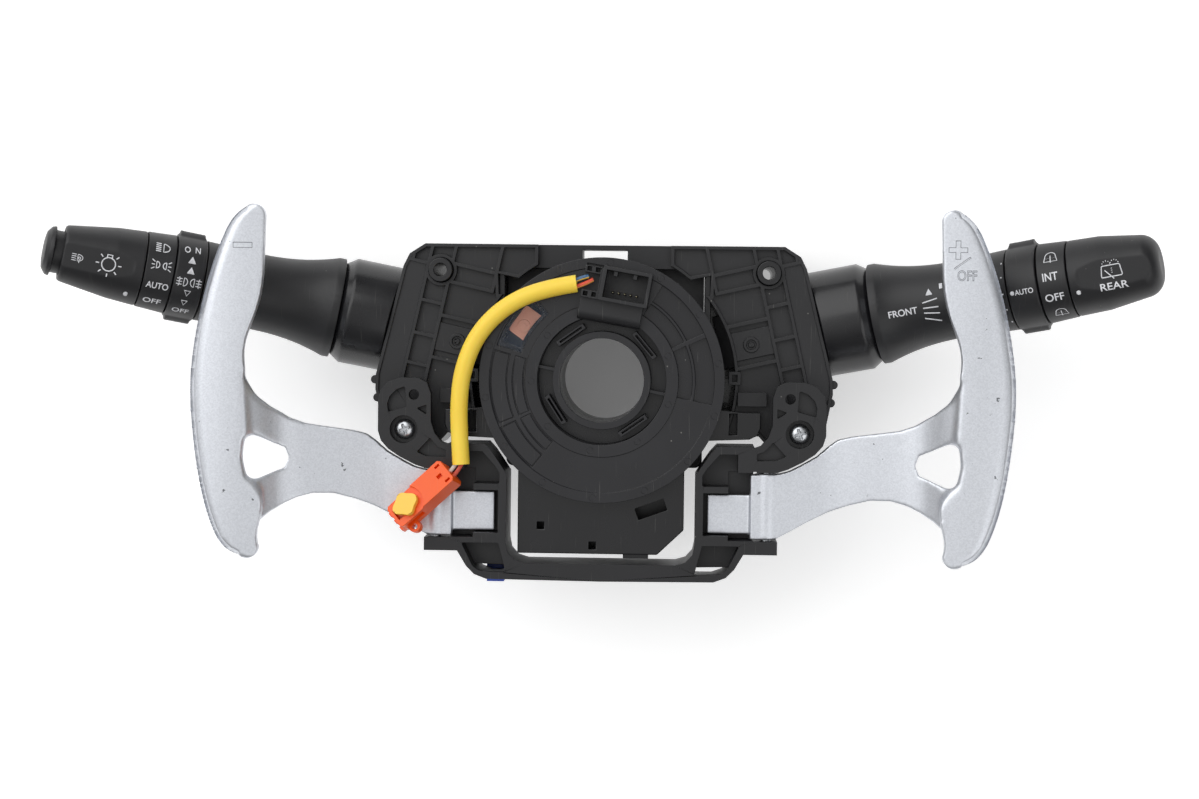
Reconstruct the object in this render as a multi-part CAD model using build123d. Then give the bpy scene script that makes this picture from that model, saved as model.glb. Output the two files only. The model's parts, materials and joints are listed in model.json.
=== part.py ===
from build123d import *
import math
import os

# Combination stalk switch for a steering column, lying on its back.
# Lengths are millimetres. The origin is on the steering shaft's axis, at the
# rear plane that faces the column. +Z points at the driver, +Y up, +X right.
# The switch is a mirror pair about X = 0, apart from what sits on the stalks.

# Steering shaft, column and clock spring
SHAFT_BORE_R = 16.5
HUB_WALL = 2.7
HUB_BACK_Z = 30.0
COLUMN_BORE_R = 21.0
COLUMN_BORE_LENGTH = 29.0
COLLAR_WALL = 3.0
FRAME_PLATE_TOP = 38.0
SENSOR_BACK_Z = FRAME_PLATE_TOP
CASE_BACK_Z = 46.0
CASE_FRONT_Z = 62.0
CASE_R = 47.0
CASE_WALL = 2.5
CASE_FLOOR = 1.8
ROTOR_R = CASE_R + 1.0
ROTOR_FRONT_Z = 72.0
ROTOR_PANEL_DROP = 3.0
ROTOR_PANEL_WALL = 2.0
ROTOR_RIM_INNER_R = ROTOR_R - 4.0
ROTOR_MID_RIB_R = 36.0
ROTOR_RIB = 1.1
ROTOR_COLLAR_OUTER_R = 30.0
ROTOR_COLLAR_INNER_R = 25.2
ROTOR_WELL_Z = 62.0
HUB_FRONT_Z = 71.0

# Clearances
RUN_GAP = 0.4
PIN_FIT = 0.05
SNUG = 0.05
SEAT = 0.2
BOX_SEAM = 0.3

# Column frame and the two switch boxes
FRAME_HALF_WIDTH = 39.7
BOX_INNER_X = FRAME_HALF_WIDTH + BOX_SEAM
BOX_BACK_Z = 8.0
BOX_FRONT_Z = 50.0
BOX_WALL = 2.2
COVER_FRONT_Z = 54.0
COVER_PLATE = 1.6
COVER_RIB = 1.3
COVER_GAP = 5.4
COVER_START_X = 26.4
BODY_TOP_Y = 53.3
SLOT_HALF_WIDTH = 9.0
MOUNT_HOLE_X = 65.2
MOUNT_HOLE_Y = 42.8
MOUNT_HOLE_R = 2.55
MOUNT_BOSS_R = 4.8
MOUNT_BOSS_FRONT_Z = 57.0
BOARD_THICK = 1.6
BOARD_BACK_Z = 12.4

# Stalks: pivot, lean and the lengths measured from the pivot along the stalk
PIVOT = (62.0, 17.8, 29.0)
STALK_RISE_DEG = 11.2
STALK_LEAN_DEG = 12.0
STALK_BEND_AT = 61.0
STALK_BEND_DEG = 8.0
SNOUT_R = 21.4
SNOUT_BORE_R = 18.9
SNOUT_MOUTH_R = 17.05
SNOUT_LIP_R = 18.4
SNOUT_CHAMFER_AT = 44.5
SNOUT_END = 49.0
LIP_SPHERE_R = 53.0
FLARE_R = 20.2
FLARE_END = 51.8
NECK_R = 15.3
NECK_END = 105.4
NECK_END_R = 16.0
RING_START = 105.8
RING_END = 117.4
RING_R = 16.5
RING_GRIP = 1.7
SCALE_START = 117.8
SCALE_END = 128.8
SCALE_R = 15.4
KNOB_START = 129.2
KNOB_R = 14.9
LIGHT_KNOB_END = 160.2
LIGHT_KNOB_TIP_R = 10.8
BUTTON_END = 167.2
BUTTON_R = 9.9
BUTTON_STEM_R = 8.4
BUTTON_STEM = 4.5
BUTTON_TRAVEL = 3.0
BUTTON_WELL = 12.3
REAR_KNOB_END = 162.9
REAR_KNOB_TIP_R = 12.0
INNER_SHAFT_R = 5.5
CORE_TUBE_R = 8.0
CORE_TUBE_BORE_R = 5.6
TURN_PIN_R = 3.0
TURN_PIN_REACH = 16.5
TILT_PIN_R = 2.5
SWING_HALF = 11.0
DETENT_R = 2.0

# Paddle bracket, paddles and their hinges
BRACKET_FRONT_Z = 70.0
BRACKET_BACK_Z = 46.0
EAR_BACK_Z = 65.0
EAR_POCKET = 3.0
SCREW_X = 77.6
SCREW_Y = -20.2
SCREW_HEAD_R = 4.0
SCREW_SHANK_R = 1.95
SCREW_END_Z = 45.5
COUNTERBORE_R = 5.5
COUNTERBORE_Z = 66.0
HINGE_X = 65.0
HINGE_Z = 64.0
HINGE_PIN_R = 2.0
HINGE_BARREL_R = 4.5
HINGE_TOP_Y = -35.9
HINGE_BOTTOM_Y = -61.8
HINGE_LUG_GAP = 0.5
SPRING_ROOM_Y = (-53.0, -45.0)
TONGUE_BOTTOM_Y = -67.6
ARM_THICK = 4.0
ARM_FRONT_Z = 68.0
BLADE_FRONT_Z = 88.0
BLADE_BEVEL = (4.4, 2.0)
ARM_FLAT_END_X = 104.0
BLADE_START_X = 137.0
TAB_END_X = 42.0
TAB_FRONT_Z = 65.6
TAB_THICK = 3.0
PLUNGER_X = 50.5
PLUNGER_Y = -52.0
PLUNGER_R = 1.5
SWITCH_FRONT_Z = 58.0

# Airbag lead on the clock spring's rotor
SLEEVE_D = 9.3
SLEEVE_ROUTE = [
    (-9.8, 37.6, 77.2),
    (-23.5, 35.4, 77.0),
    (-37.8, 28.6, 77.0),
    (-48.6, 17.4, 77.0),
    (-54.2, 3.0, 76.6),
    (-55.4, -10.6, 76.2),
    (-54.9, -22.4, 76.2),
    (-54.2, -33.2, 76.4),
]
LEAD_R = 0.8
LEAD_ENDS = [
    ((-11.0, 38.5, 77.8), (-5.2, 40.5, 77.8)),
    ((-11.0, 36.0, 77.8), (-3.4, 39.2, 77.8)),
    ((-53.4, -32.0, 77.2), (-57.4, -38.2, 77.6)),
    ((-55.6, -32.0, 76.4), (-59.4, -37.0, 76.8)),
]
PLUG_CENTRE = (-68.6, -45.6, 76.9)
PLUG_ANGLE_DEG = -137.4
PLUG_ROLL_DEG = 21.0
PLUG_LENGTH = 28.4
PLUG_WIDTH = 10.4
PLUG_DEPTH = 9.6
LOCK_CENTRE = (6.9, -0.5)
LOCK_TRAVEL = 3.0

TOWER_CENTRE = (9.2, 36.4)
TOWER_ANGLE_DEG = -10.0
TOWER_FRONT_Z = 82.0

nodes = {}


# Shape helpers


def outline(points, radius=0.0):
    """A closed flat outline; every corner is rounded when a radius is given."""
    face = make_face(Polyline(*points, close=True))
    if radius:
        face = fillet(face.vertices(), radius)
    return face


def prism(face, back, front):
    """A straight body on an outline in X and Y, from one height to another."""
    return Pos(0, 0, back) * extrude(face, front - back, dir=(0, 0, 1))


def block(x, y, z):
    """A box given by its low and high value along each axis."""
    centre = Pos((x[0] + x[1]) / 2, (y[0] + y[1]) / 2, (z[0] + z[1]) / 2)
    return centre * Box(x[1] - x[0], y[1] - y[0], z[1] - z[0])


def disc(radius, back, front, at=(0, 0)):
    """An upright cylinder between two heights."""
    return Pos(at[0], at[1], (back + front) / 2) * Cylinder(radius, front - back)


def ring(outer, inner, back, front, at=(0, 0)):
    """An upright tube between two heights."""
    return disc(outer, back, front, at) - disc(inner, back - 1, front + 1, at)


def sector(outer, inner, start_deg, end_deg, back, front):
    """Part of an upright ring between two angles."""
    def point(radius, angle):
        a = math.radians(angle)
        return (radius * math.cos(a), radius * math.sin(a))
    middle = (start_deg + end_deg) / 2
    edges = [
        Line(point(inner, start_deg), point(outer, start_deg)),
        ThreePointArc(point(outer, start_deg), point(outer, middle), point(outer, end_deg)),
        Line(point(outer, end_deg), point(inner, end_deg)),
        ThreePointArc(point(inner, end_deg), point(inner, middle), point(inner, start_deg)),
    ]
    return prism(make_face(edges), back, front)


def lathe(points):
    """A body turned about X, on (distance along X, radius) points."""
    return revolve(make_face(Polyline(*points, close=True)), Axis.X)


def rod_x(radius, start, end):
    """A round bar along X."""
    return Pos((start + end) / 2, 0, 0) * Rot(0, 90, 0) * Cylinder(radius, end - start)


def rod_y(radius, start, end):
    """A round bar along Y."""
    return Pos(0, (start + end) / 2, 0) * Rot(90, 0, 0) * Cylinder(radius, end - start)


def stalk_frame():
    """The stalk's own axes: X along it, Y up across it, Z towards the driver."""
    rise = math.radians(STALK_RISE_DEG)
    lean = math.radians(STALK_LEAN_DEG)
    along = (math.cos(lean) * math.cos(rise), math.cos(lean) * math.sin(rise), math.sin(lean))
    facing = (-math.sin(lean) * math.cos(rise), -math.sin(lean) * math.sin(rise), math.cos(lean))
    return Plane(origin=PIVOT, x_dir=along, z_dir=facing)


STALK = stalk_frame()
BEND = Pos(STALK_BEND_AT, 0, 0) * Rot(0, -STALK_BEND_DEG, 0) * Pos(-STALK_BEND_AT, 0, 0)


def on_stalk(shape):
    """Carries a shape from the stalk's own axes to its place on the right."""
    return STALK.location * shape


def past_bend(shape):
    """Carries a shape to its place beyond the stalk's bend towards the driver."""
    return STALK.location * BEND * shape


def add_pair(name, shape):
    """Files a right-hand piece and its mirror image on the left."""
    nodes["right_" + name] = shape
    nodes["left_" + name] = mirror(shape, about=Plane.YZ)


# Switch boxes and the column frame

BOX_SIDE = [(71.5, BODY_TOP_Y), (77.8, 49.3), (80.2, 44.5), (91.0, 1.0), (91.2, -5.0), (88.2, -20.0)]
BOX_SIDE += [(82.5, -27.6), (67.0, -27.6), (62.0, -22.0)]
BOX_OUTLINE = [(BOX_INNER_X, BODY_TOP_Y)] + BOX_SIDE + [(BOX_INNER_X, -22.0)]
COVER_OUTLINE = [(COVER_START_X, BODY_TOP_Y)] + BOX_SIDE + [(BOX_INNER_X - 2.0, -22.0)]
COVER_OUTLINE += [(BOX_INNER_X - 2.0, 20.0), (COVER_START_X, 40.0)]


def column_frame():
    """The moulded frame whose collar slips on the column; it carries everything."""
    collar_r = COLUMN_BORE_R + COLLAR_WALL
    plate_outline = [(-FRAME_HALF_WIDTH, -36), (FRAME_HALF_WIDTH, -36)]
    plate_outline += [(FRAME_HALF_WIDTH, BODY_TOP_Y), (-FRAME_HALF_WIDTH, BODY_TOP_Y)]
    body = prism(outline(plate_outline, 3), FRAME_PLATE_TOP - 4, FRAME_PLATE_TOP)
    body += disc(collar_r, 0, FRAME_PLATE_TOP)
    rail_width = 3.2
    for side in (-1, 1):
        low, high = sorted((side * FRAME_HALF_WIDTH, side * (FRAME_HALF_WIDTH - rail_width)))
        body += block((low, high), (-33, BODY_TOP_Y - 3), (BOX_BACK_Z + 4, FRAME_PLATE_TOP))
    for count in range(8):
        rib = block((collar_r - 1, FRAME_HALF_WIDTH - 1), (-0.9, 0.9), (18, FRAME_PLATE_TOP - 2))
        body += Rot(0, 0, 45 * count) * rib
    across = (-FRAME_HALF_WIDTH, FRAME_HALF_WIDTH)
    top_bar = block(across, (CASE_R - 3, BODY_TOP_Y), (FRAME_PLATE_TOP, BOX_FRONT_Z))
    body += top_bar - disc(CASE_R + RUN_GAP, FRAME_PLATE_TOP + 1, BOX_FRONT_Z + 1)
    hub_room = SHAFT_BORE_R + HUB_WALL + 6.0
    body -= disc(COLUMN_BORE_R, -1, COLUMN_BORE_LENGTH)
    body -= disc(hub_room, COLUMN_BORE_LENGTH, FRAME_PLATE_TOP + 1)
    body -= block((-SLOT_HALF_WIDTH, SLOT_HALF_WIDTH), (43, BODY_TOP_Y - 1.8), (-1, BOX_FRONT_Z + 1))
    nodes["column_frame"] = body


TURN_BOSS_REACH = 22.4


def turn_pin_boss(side):
    """The boss that holds one end of the stalk's upright turning pin."""
    start, end = sorted((side * (SWING_HALF + RUN_GAP), side * TURN_BOSS_REACH))
    boss = disc(TURN_PIN_R + 2.5, start, end)
    boss -= disc(TURN_PIN_R + PIN_FIT, *sorted((side * SWING_HALF, side * (TURN_PIN_REACH + 0.5))))
    return on_stalk(boss)


def switch_box():
    """The open-fronted box of one switch, with the glossy snout of the stalk."""
    shell = prism(outline(BOX_OUTLINE), BOX_BACK_Z, BOX_FRONT_Z)
    room = prism(offset(outline(BOX_OUTLINE), -BOX_WALL), BOX_BACK_Z + BOX_WALL, BOX_FRONT_Z + 1)
    body = shell - room
    start = 20
    snout = lathe([
        (start, 0), (start, SNOUT_R), (SNOUT_CHAMFER_AT, SNOUT_R), (SNOUT_END, SNOUT_LIP_R), (SNOUT_END, 0)])
    snout = on_stalk(snout) - prism(offset(outline(COVER_OUTLINE), 0.3), BOX_FRONT_Z, 80)
    snout -= room
    body += snout
    mouth = SNOUT_END - 3
    bore = lathe([
        (14, 0), (14, SNOUT_BORE_R), (mouth, SNOUT_BORE_R), (mouth, SNOUT_MOUTH_R), (60, SNOUT_MOUTH_R), (60, 0)])
    body -= on_stalk(bore) - prism(outline(COVER_OUTLINE), BOX_FRONT_Z - 0.01, 80)
    hole_at = (MOUNT_HOLE_X, MOUNT_HOLE_Y)
    body += disc(MOUNT_BOSS_R, 0, MOUNT_BOSS_FRONT_Z, hole_at)
    body -= disc(MOUNT_HOLE_R, -1, MOUNT_BOSS_FRONT_Z + 1, hole_at)
    floor = BOX_BACK_Z + BOX_WALL
    body += turn_pin_boss(-1) - prism(outline(BOX_OUTLINE), BOX_BACK_Z - 9, BOX_BACK_Z)
    body -= disc(CASE_R + RUN_GAP, CASE_BACK_Z - RUN_GAP, BOX_FRONT_Z + 1)
    for x, y in ((46, -14), (46, 46), (76, 34), (82, -12)):
        body += disc(1.8, floor - 1, BOARD_BACK_Z, (x, y))
    body -= block(SOCKET_CAVITY_X, SOCKET_CAVITY_Y, (BOX_BACK_Z - 1, floor + 1))
    add_pair("switch_box", body)


SOCKET_X = (52.0, 74.0)
SOCKET_Y = (-15.0, -4.0)
SOCKET_WALL = 1.5
SOCKET_CAVITY_X = (SOCKET_X[0] + SOCKET_WALL, SOCKET_X[1] - SOCKET_WALL)
SOCKET_CAVITY_Y = (SOCKET_Y[0] + SOCKET_WALL, SOCKET_Y[1] - SOCKET_WALL)


def harness_socket():
    """The shroud at the back of each switch box that takes the car's plug."""
    body = block(SOCKET_X, SOCKET_Y, (0, BOX_BACK_Z))
    body -= block(SOCKET_CAVITY_X, SOCKET_CAVITY_Y, (-1, BOX_BACK_Z + 1))
    body += block((SOCKET_X[0] + 7, SOCKET_X[1] - 7), (SOCKET_Y[1], SOCKET_Y[1] + 1.5), (1.5, BOX_BACK_Z))
    add_pair("harness_socket", body)


def contact_board():
    """The circuit board on the floor of each box, with its row of pins."""
    face = offset(outline(BOX_OUTLINE), -BOX_WALL - 0.6)
    board = prism(face, BOARD_BACK_Z, BOARD_BACK_Z + BOARD_THICK)
    board -= on_stalk(disc(TURN_PIN_R + 3.4, -25, 5))
    board -= disc(MOUNT_BOSS_R + 0.6, 0, 30, (MOUNT_HOLE_X, MOUNT_HOLE_Y))
    pin_pitch = 2.5
    middle_y = sum(SOCKET_Y) / 2
    for count in range(7):
        x = sum(SOCKET_X) / 2 + pin_pitch * (count - 3)
        board += block((x - 0.4, x + 0.4), (middle_y - 0.4, middle_y + 0.4), (5.0, BOARD_BACK_Z + 0.5))
    add_pair("contact_board", board)


def rib_band(start, end, across, back, front):
    """Short cross ribs between two long ribs of the cover's grid."""
    band = None
    half = COVER_RIB / 2
    for t in across:
        rib = block((start, end), (t - half, t + half), (back, front))
        band = rib if band is None else band + rib
    return band


GRID_TURN_DEG = STALK_RISE_DEG + 1.5
LONG_RIBS = (4.8, 14.0)
TOP_RIBS = (-13.3, 20.6)
INNER_CROSS_RIBS = (-10.9, 6.2, 20.0, 27.3)
OUTER_CROSS_RIBS = (-15.0, -2.9, 10.5)
CORNER_RIB = 25.2
PAD_AT = (58.6, 14.4)
PAD_R = 3.1


def cover_grid():
    """The leaning grid of ribs on the front of a cover, in the stalk's rise."""
    front = COVER_FRONT_Z - BOX_FRONT_Z
    half = COVER_RIB / 2
    grid = rib_band(TOP_RIBS[0], LONG_RIBS[0], INNER_CROSS_RIBS, 0, front)
    grid += rib_band(LONG_RIBS[0], LONG_RIBS[1], OUTER_CROSS_RIBS, 0, front)
    grid += rib_band(LONG_RIBS[1], 40, (CORNER_RIB,), 0, front)
    for along in LONG_RIBS:
        grid += block((along - half, along + half), (-60, 60), (0, front))
    for along, low in zip(TOP_RIBS, (INNER_CROSS_RIBS[2], CORNER_RIB)):
        grid += block((along - half, along + half), (low - half, 60), (0, front))
    grid += block((TOP_RIBS[0], LONG_RIBS[0]), (-7.9, 3.4), (0, COVER_PLATE + 1.5))
    grid += block((LONG_RIBS[1], 40), (-60, CORNER_RIB), (0, front - 0.8))
    return Pos(PIVOT[0], PIVOT[1], BOX_FRONT_Z) * Rot(0, 0, GRID_TURN_DEG) * grid


SNAP_HOOKS = ((91.4, -1.2), (90.4, -8.4))


def cover_cut(margin):
    """What the cover leaves open round the clock spring, less a margin for its rim."""
    low = 33.4 + margin
    notch = [(36.0, low), (42.0 - margin, low), (42.4 - margin, 41.6 - margin), (34.0, 39.8 - margin)]
    cut = disc(CASE_R + COVER_GAP - margin, BOX_FRONT_Z - 1, COVER_FRONT_Z + 1)
    return cut + prism(outline(notch), BOX_FRONT_Z - 1, COVER_FRONT_Z + 1)


def switch_cover():
    """The ribbed cover screwed to the front of each box."""
    whole = prism(outline(COVER_OUTLINE), BOX_FRONT_Z, COVER_FRONT_Z)
    plate = prism(outline(COVER_OUTLINE), BOX_FRONT_Z, BOX_FRONT_Z + COVER_PLATE)
    rim = whole - prism(offset(outline(COVER_OUTLINE), -COVER_RIB), BOX_FRONT_Z, COVER_FRONT_Z + 1)
    body = plate + rim + (cover_grid() & whole) + (cover_cut(-COVER_RIB) & whole)
    pad_top = BOX_FRONT_Z + COVER_PLATE + 2.3
    body += ring(PAD_R, PAD_R - 1.1, BOX_FRONT_Z + COVER_PLATE, pad_top, PAD_AT)
    body += disc(PAD_R - 1.9, BOX_FRONT_Z + COVER_PLATE, pad_top, PAD_AT)
    hole_at = (MOUNT_HOLE_X, MOUNT_HOLE_Y)
    body += disc(MOUNT_BOSS_R + 1.6, BOX_FRONT_Z, COVER_FRONT_Z, hole_at)
    body -= disc(MOUNT_BOSS_R + SEAT, BOX_FRONT_Z - 1, COVER_FRONT_Z + 1, hole_at)
    body -= cover_cut(0.0)
    clip_x = (CASE_R + 6.4, CASE_R + 18.0)
    body += block(clip_x, (-10.0, -4.6), (BOX_FRONT_Z, COVER_FRONT_Z + 2.4))
    body += block((clip_x[0] - 3.6, clip_x[0] + 1.2), (-1.6, 3.6), (BOX_FRONT_Z, COVER_FRONT_Z + 1.2))
    body -= block((clip_x[0] - 2.2, clip_x[0] - 0.2), (-0.4, 2.4), (BOX_FRONT_Z + COVER_PLATE, COVER_FRONT_Z + 2))
    for at in SNAP_HOOKS:
        body += disc(1.7, BOX_FRONT_Z, COVER_FRONT_Z - 0.6, at)
    body += turn_pin_boss(1) - prism(outline(COVER_OUTLINE), BOX_FRONT_Z + COVER_PLATE, COVER_FRONT_Z + 10)
    body += disc(5.2, SCREW_END_Z - 1.5, BOX_FRONT_Z + 1, (SCREW_X, SCREW_Y + 1.0)) & prism(
        offset(outline(BOX_OUTLINE), -BOX_WALL - 0.3), 30, BOX_FRONT_Z + 1)
    body -= disc(SCREW_SHANK_R + PIN_FIT, SCREW_END_Z - 0.5, COVER_FRONT_Z + 1, (SCREW_X, SCREW_Y))
    add_pair("switch_cover", body)


# Clock spring

LOWER_BOX_X = (-33.0, 32.7)
LOWER_BOX_Y = (-69.0, -30.0)
LOWER_TAB_X = (8.8, 18.8)
LOWER_SOCKET_X = (-13.0, 13.0)
LOWER_SOCKET_Y = (-64.0, -52.0)
GEAR_HOLE_R = 1.55
DRIVE_TEETH = 46
SENSOR_TEETH = (16, 14)
SENSOR_ANGLES = (-62.0, -118.0)
GEAR_BACKLASH = 0.25


def lower_outline():
    """The box under the clock spring, with its bevelled lower right corner."""
    return [
        (LOWER_BOX_X[0], LOWER_BOX_Y[0]),
        (22.3, LOWER_BOX_Y[0]),
        (LOWER_BOX_X[1], -59.1),
        (LOWER_BOX_X[1], LOWER_BOX_Y[1]),
        (LOWER_BOX_X[0], LOWER_BOX_Y[1]),
    ]


def sensor_axis(index):
    """Centre of one steering angle gear, in mesh with the drive gear."""
    reach = (DRIVE_TEETH + SENSOR_TEETH[index]) / 2 + GEAR_BACKLASH
    a = math.radians(SENSOR_ANGLES[index])
    return (reach * math.cos(a), reach * math.sin(a))


def sensor_housing():
    """The flat housing behind the clock spring that holds the angle gears."""
    body = disc(FRAME_HALF_WIDTH - RUN_GAP, SENSOR_BACK_Z, CASE_BACK_Z)
    body += prism(outline(lower_outline()), SENSOR_BACK_Z, CASE_BACK_Z)
    body -= disc(SHAFT_BORE_R + HUB_WALL + 5.8, SENSOR_BACK_Z - 1, CASE_BACK_Z + 1)
    for index, teeth in enumerate(SENSOR_TEETH):
        at = sensor_axis(index)
        body -= disc(teeth / 2 + 1.6, SENSOR_BACK_Z + 1.2, CASE_BACK_Z + 1, at)
        body += disc(GEAR_HOLE_R - PIN_FIT, SENSOR_BACK_Z, CASE_BACK_Z - 0.2, at)
    shroud = block(LOWER_SOCKET_X, LOWER_SOCKET_Y, (SENSOR_BACK_Z - 10, SENSOR_BACK_Z))
    cavity_x = (LOWER_SOCKET_X[0] + SOCKET_WALL, LOWER_SOCKET_X[1] - SOCKET_WALL)
    cavity_y = (LOWER_SOCKET_Y[0] + SOCKET_WALL, LOWER_SOCKET_Y[1] - SOCKET_WALL)
    body += shroud
    body -= block(cavity_x, cavity_y, (SENSOR_BACK_Z - 11, SENSOR_BACK_Z + 2))
    nodes["sensor_housing"] = body


def case_terminals():
    """The row of pins in the socket below the clock spring."""
    row = []
    pin_pitch = 3.0
    middle_y = sum(LOWER_SOCKET_Y) / 2
    for count in range(7):
        x = pin_pitch * (count - 3)
        row.append(block((x - 0.4, x + 0.4), (middle_y - 0.4, middle_y + 0.4),
                         (SENSOR_BACK_Z - 5, SENSOR_BACK_Z + 2)))
    nodes["case_terminals"] = Compound(children=row)


CASE_EAR_BACK_Z = COVER_FRONT_Z + SEAT


def ear_outline(side):
    """One flat ear beside the clock spring, over the switch cover's lower edge."""
    reach = CASE_R + 15.6
    points = [(CASE_R - 6, -10.8), (CASE_R + 8.6, -12.4), (reach, -12.4), (reach, -18.6), (reach - 1.4, -21.6)]
    points += [(reach - 4.4, -23.0), (CASE_R - 7, -23.8)]
    return [(side * x, y) for x, y in points]


def clock_spring_case():
    """The fixed cup of the clock spring with the box moulded below it."""
    body = disc(CASE_R, CASE_BACK_Z, CASE_FRONT_Z)
    body += prism(outline(lower_outline()), CASE_BACK_Z, CASE_FRONT_Z)
    body += block(LOWER_TAB_X, (-70.6, -68), (CASE_FRONT_Z - 6, CASE_FRONT_Z - 1))
    room = prism(offset(outline(lower_outline()), -2.0), CASE_BACK_Z - 1, CASE_FRONT_Z - 2.0)
    body -= room - disc(CASE_R, CASE_BACK_Z - 1, CASE_FRONT_Z)
    body -= disc(CASE_R - CASE_WALL, CASE_BACK_Z + CASE_FLOOR, CASE_FRONT_Z + 1)
    body -= disc(SHAFT_BORE_R + HUB_WALL + RUN_GAP, CASE_BACK_Z - 1, CASE_FRONT_Z)
    for x, y in ((-24.0, -58.0), (-3.4, -65.7)):
        body -= block((x - 1.4, x + 1.4), (y - 1.4, y + 1.4), (CASE_FRONT_Z - 3, CASE_FRONT_Z + 1))
    window = Pos(19.7, -51.0, CASE_FRONT_Z) * Rot(0, 0, 20) * Box(12.0, 4.8, 6.0)
    body -= window - disc(CASE_R, CASE_BACK_Z, CASE_FRONT_Z + 4)
    for side in (-1, 1):
        ear = prism(outline(ear_outline(side)), CASE_EAR_BACK_Z, CASE_FRONT_Z - 2.4)
        slot_x = sorted((side * (CASE_R + 3.2), side * (CASE_R + 6.2)))
        ear -= block(slot_x, (-21.2, -13.0), (CASE_EAR_BACK_Z - 1, CASE_FRONT_Z))
        ear -= disc(CASE_R - 0.6, CASE_EAR_BACK_Z - 1, CASE_FRONT_Z)
        body += ear
    nodes["clock_spring_case"] = body


OUTER_COIL = 1.4
INNER_COIL = 1.7
COIL_SEAT_Z = CASE_BACK_Z + CASE_FLOOR + SEAT
OUTER_COIL_R = CASE_R - CASE_WALL - SEAT
INNER_COIL_R = SHAFT_BORE_R + HUB_WALL + SEAT


def flat_cables():
    """The ribbon wound against the case and on the hub, as two closed coils."""
    front = CASE_FRONT_Z - 2.0
    nodes["flat_cable_outer"] = ring(OUTER_COIL_R, OUTER_COIL_R - OUTER_COIL, COIL_SEAT_Z, front)
    nodes["flat_cable_inner"] = ring(INNER_COIL_R + INNER_COIL, INNER_COIL_R, COIL_SEAT_Z, front - 0.2)


ROLLER_R = 4.2
ROLLER_PIN_R = 1.5
ROLLER_COUNT = 6
CARRIER_R = OUTER_COIL_R - OUTER_COIL - 0.9
CARRIER_INNER_R = INNER_COIL_R + INNER_COIL + 2.9
ROLLER_ORBIT_R = CARRIER_R - ROLLER_R - 0.8
INDICATOR_DEG = 146.0


def roller_carrier():
    """The floating ring that carries the rollers between the two coils."""
    front = CASE_FRONT_Z - 3.5
    body = ring(CARRIER_R, CARRIER_INNER_R, COIL_SEAT_Z, COIL_SEAT_Z + 1.6)
    rollers = []
    for count in range(ROLLER_COUNT):
        a = math.radians(INDICATOR_DEG + count * 360 / ROLLER_COUNT)
        at = (ROLLER_ORBIT_R * math.cos(a), ROLLER_ORBIT_R * math.sin(a))
        body += disc(ROLLER_PIN_R, COIL_SEAT_Z, front, at)
        rollers.append(ring(ROLLER_R, ROLLER_PIN_R + PIN_FIT, COIL_SEAT_Z + 1.8, front - 0.2, at))
    nodes["roller_carrier"] = body
    nodes["indicator_roller"] = rollers[0]
    nodes["carrier_rollers"] = Compound(children=rollers[1:])


ROTOR_FLUSH_DROP = 0.5
GROOVE = 0.45
POCKET_DEG = ((-12.0, 23.0), (25.5, 58.0))
PANEL_DEG = ((164.5, 203.5), (205.5, 232.0))
WINDOW_DEG = (129.0, 162.0)
TOWER_SIZE = (19.0, 13.4)
TERMINAL_BLOCK_X = (-16.6, -9.5)


def tower_place(shape):
    """Carries a shape from the connector tower's own axes to its place."""
    return Pos(TOWER_CENTRE[0], TOWER_CENTRE[1], 0) * Rot(0, 0, TOWER_ANGLE_DEG) * shape


def tower_foot(grow=0.0):
    """The patch of the rotor that the connector tower stands on."""
    x = (TERMINAL_BLOCK_X[0] - grow, TOWER_SIZE[0] / 2 + grow)
    y = (-TOWER_SIZE[1] / 2 - grow, TOWER_SIZE[1] / 2 + grow)
    panel = ROTOR_FRONT_Z - ROTOR_PANEL_DROP
    return tower_place(block(x, y, (panel, ROTOR_FRONT_Z + 1)))


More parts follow.
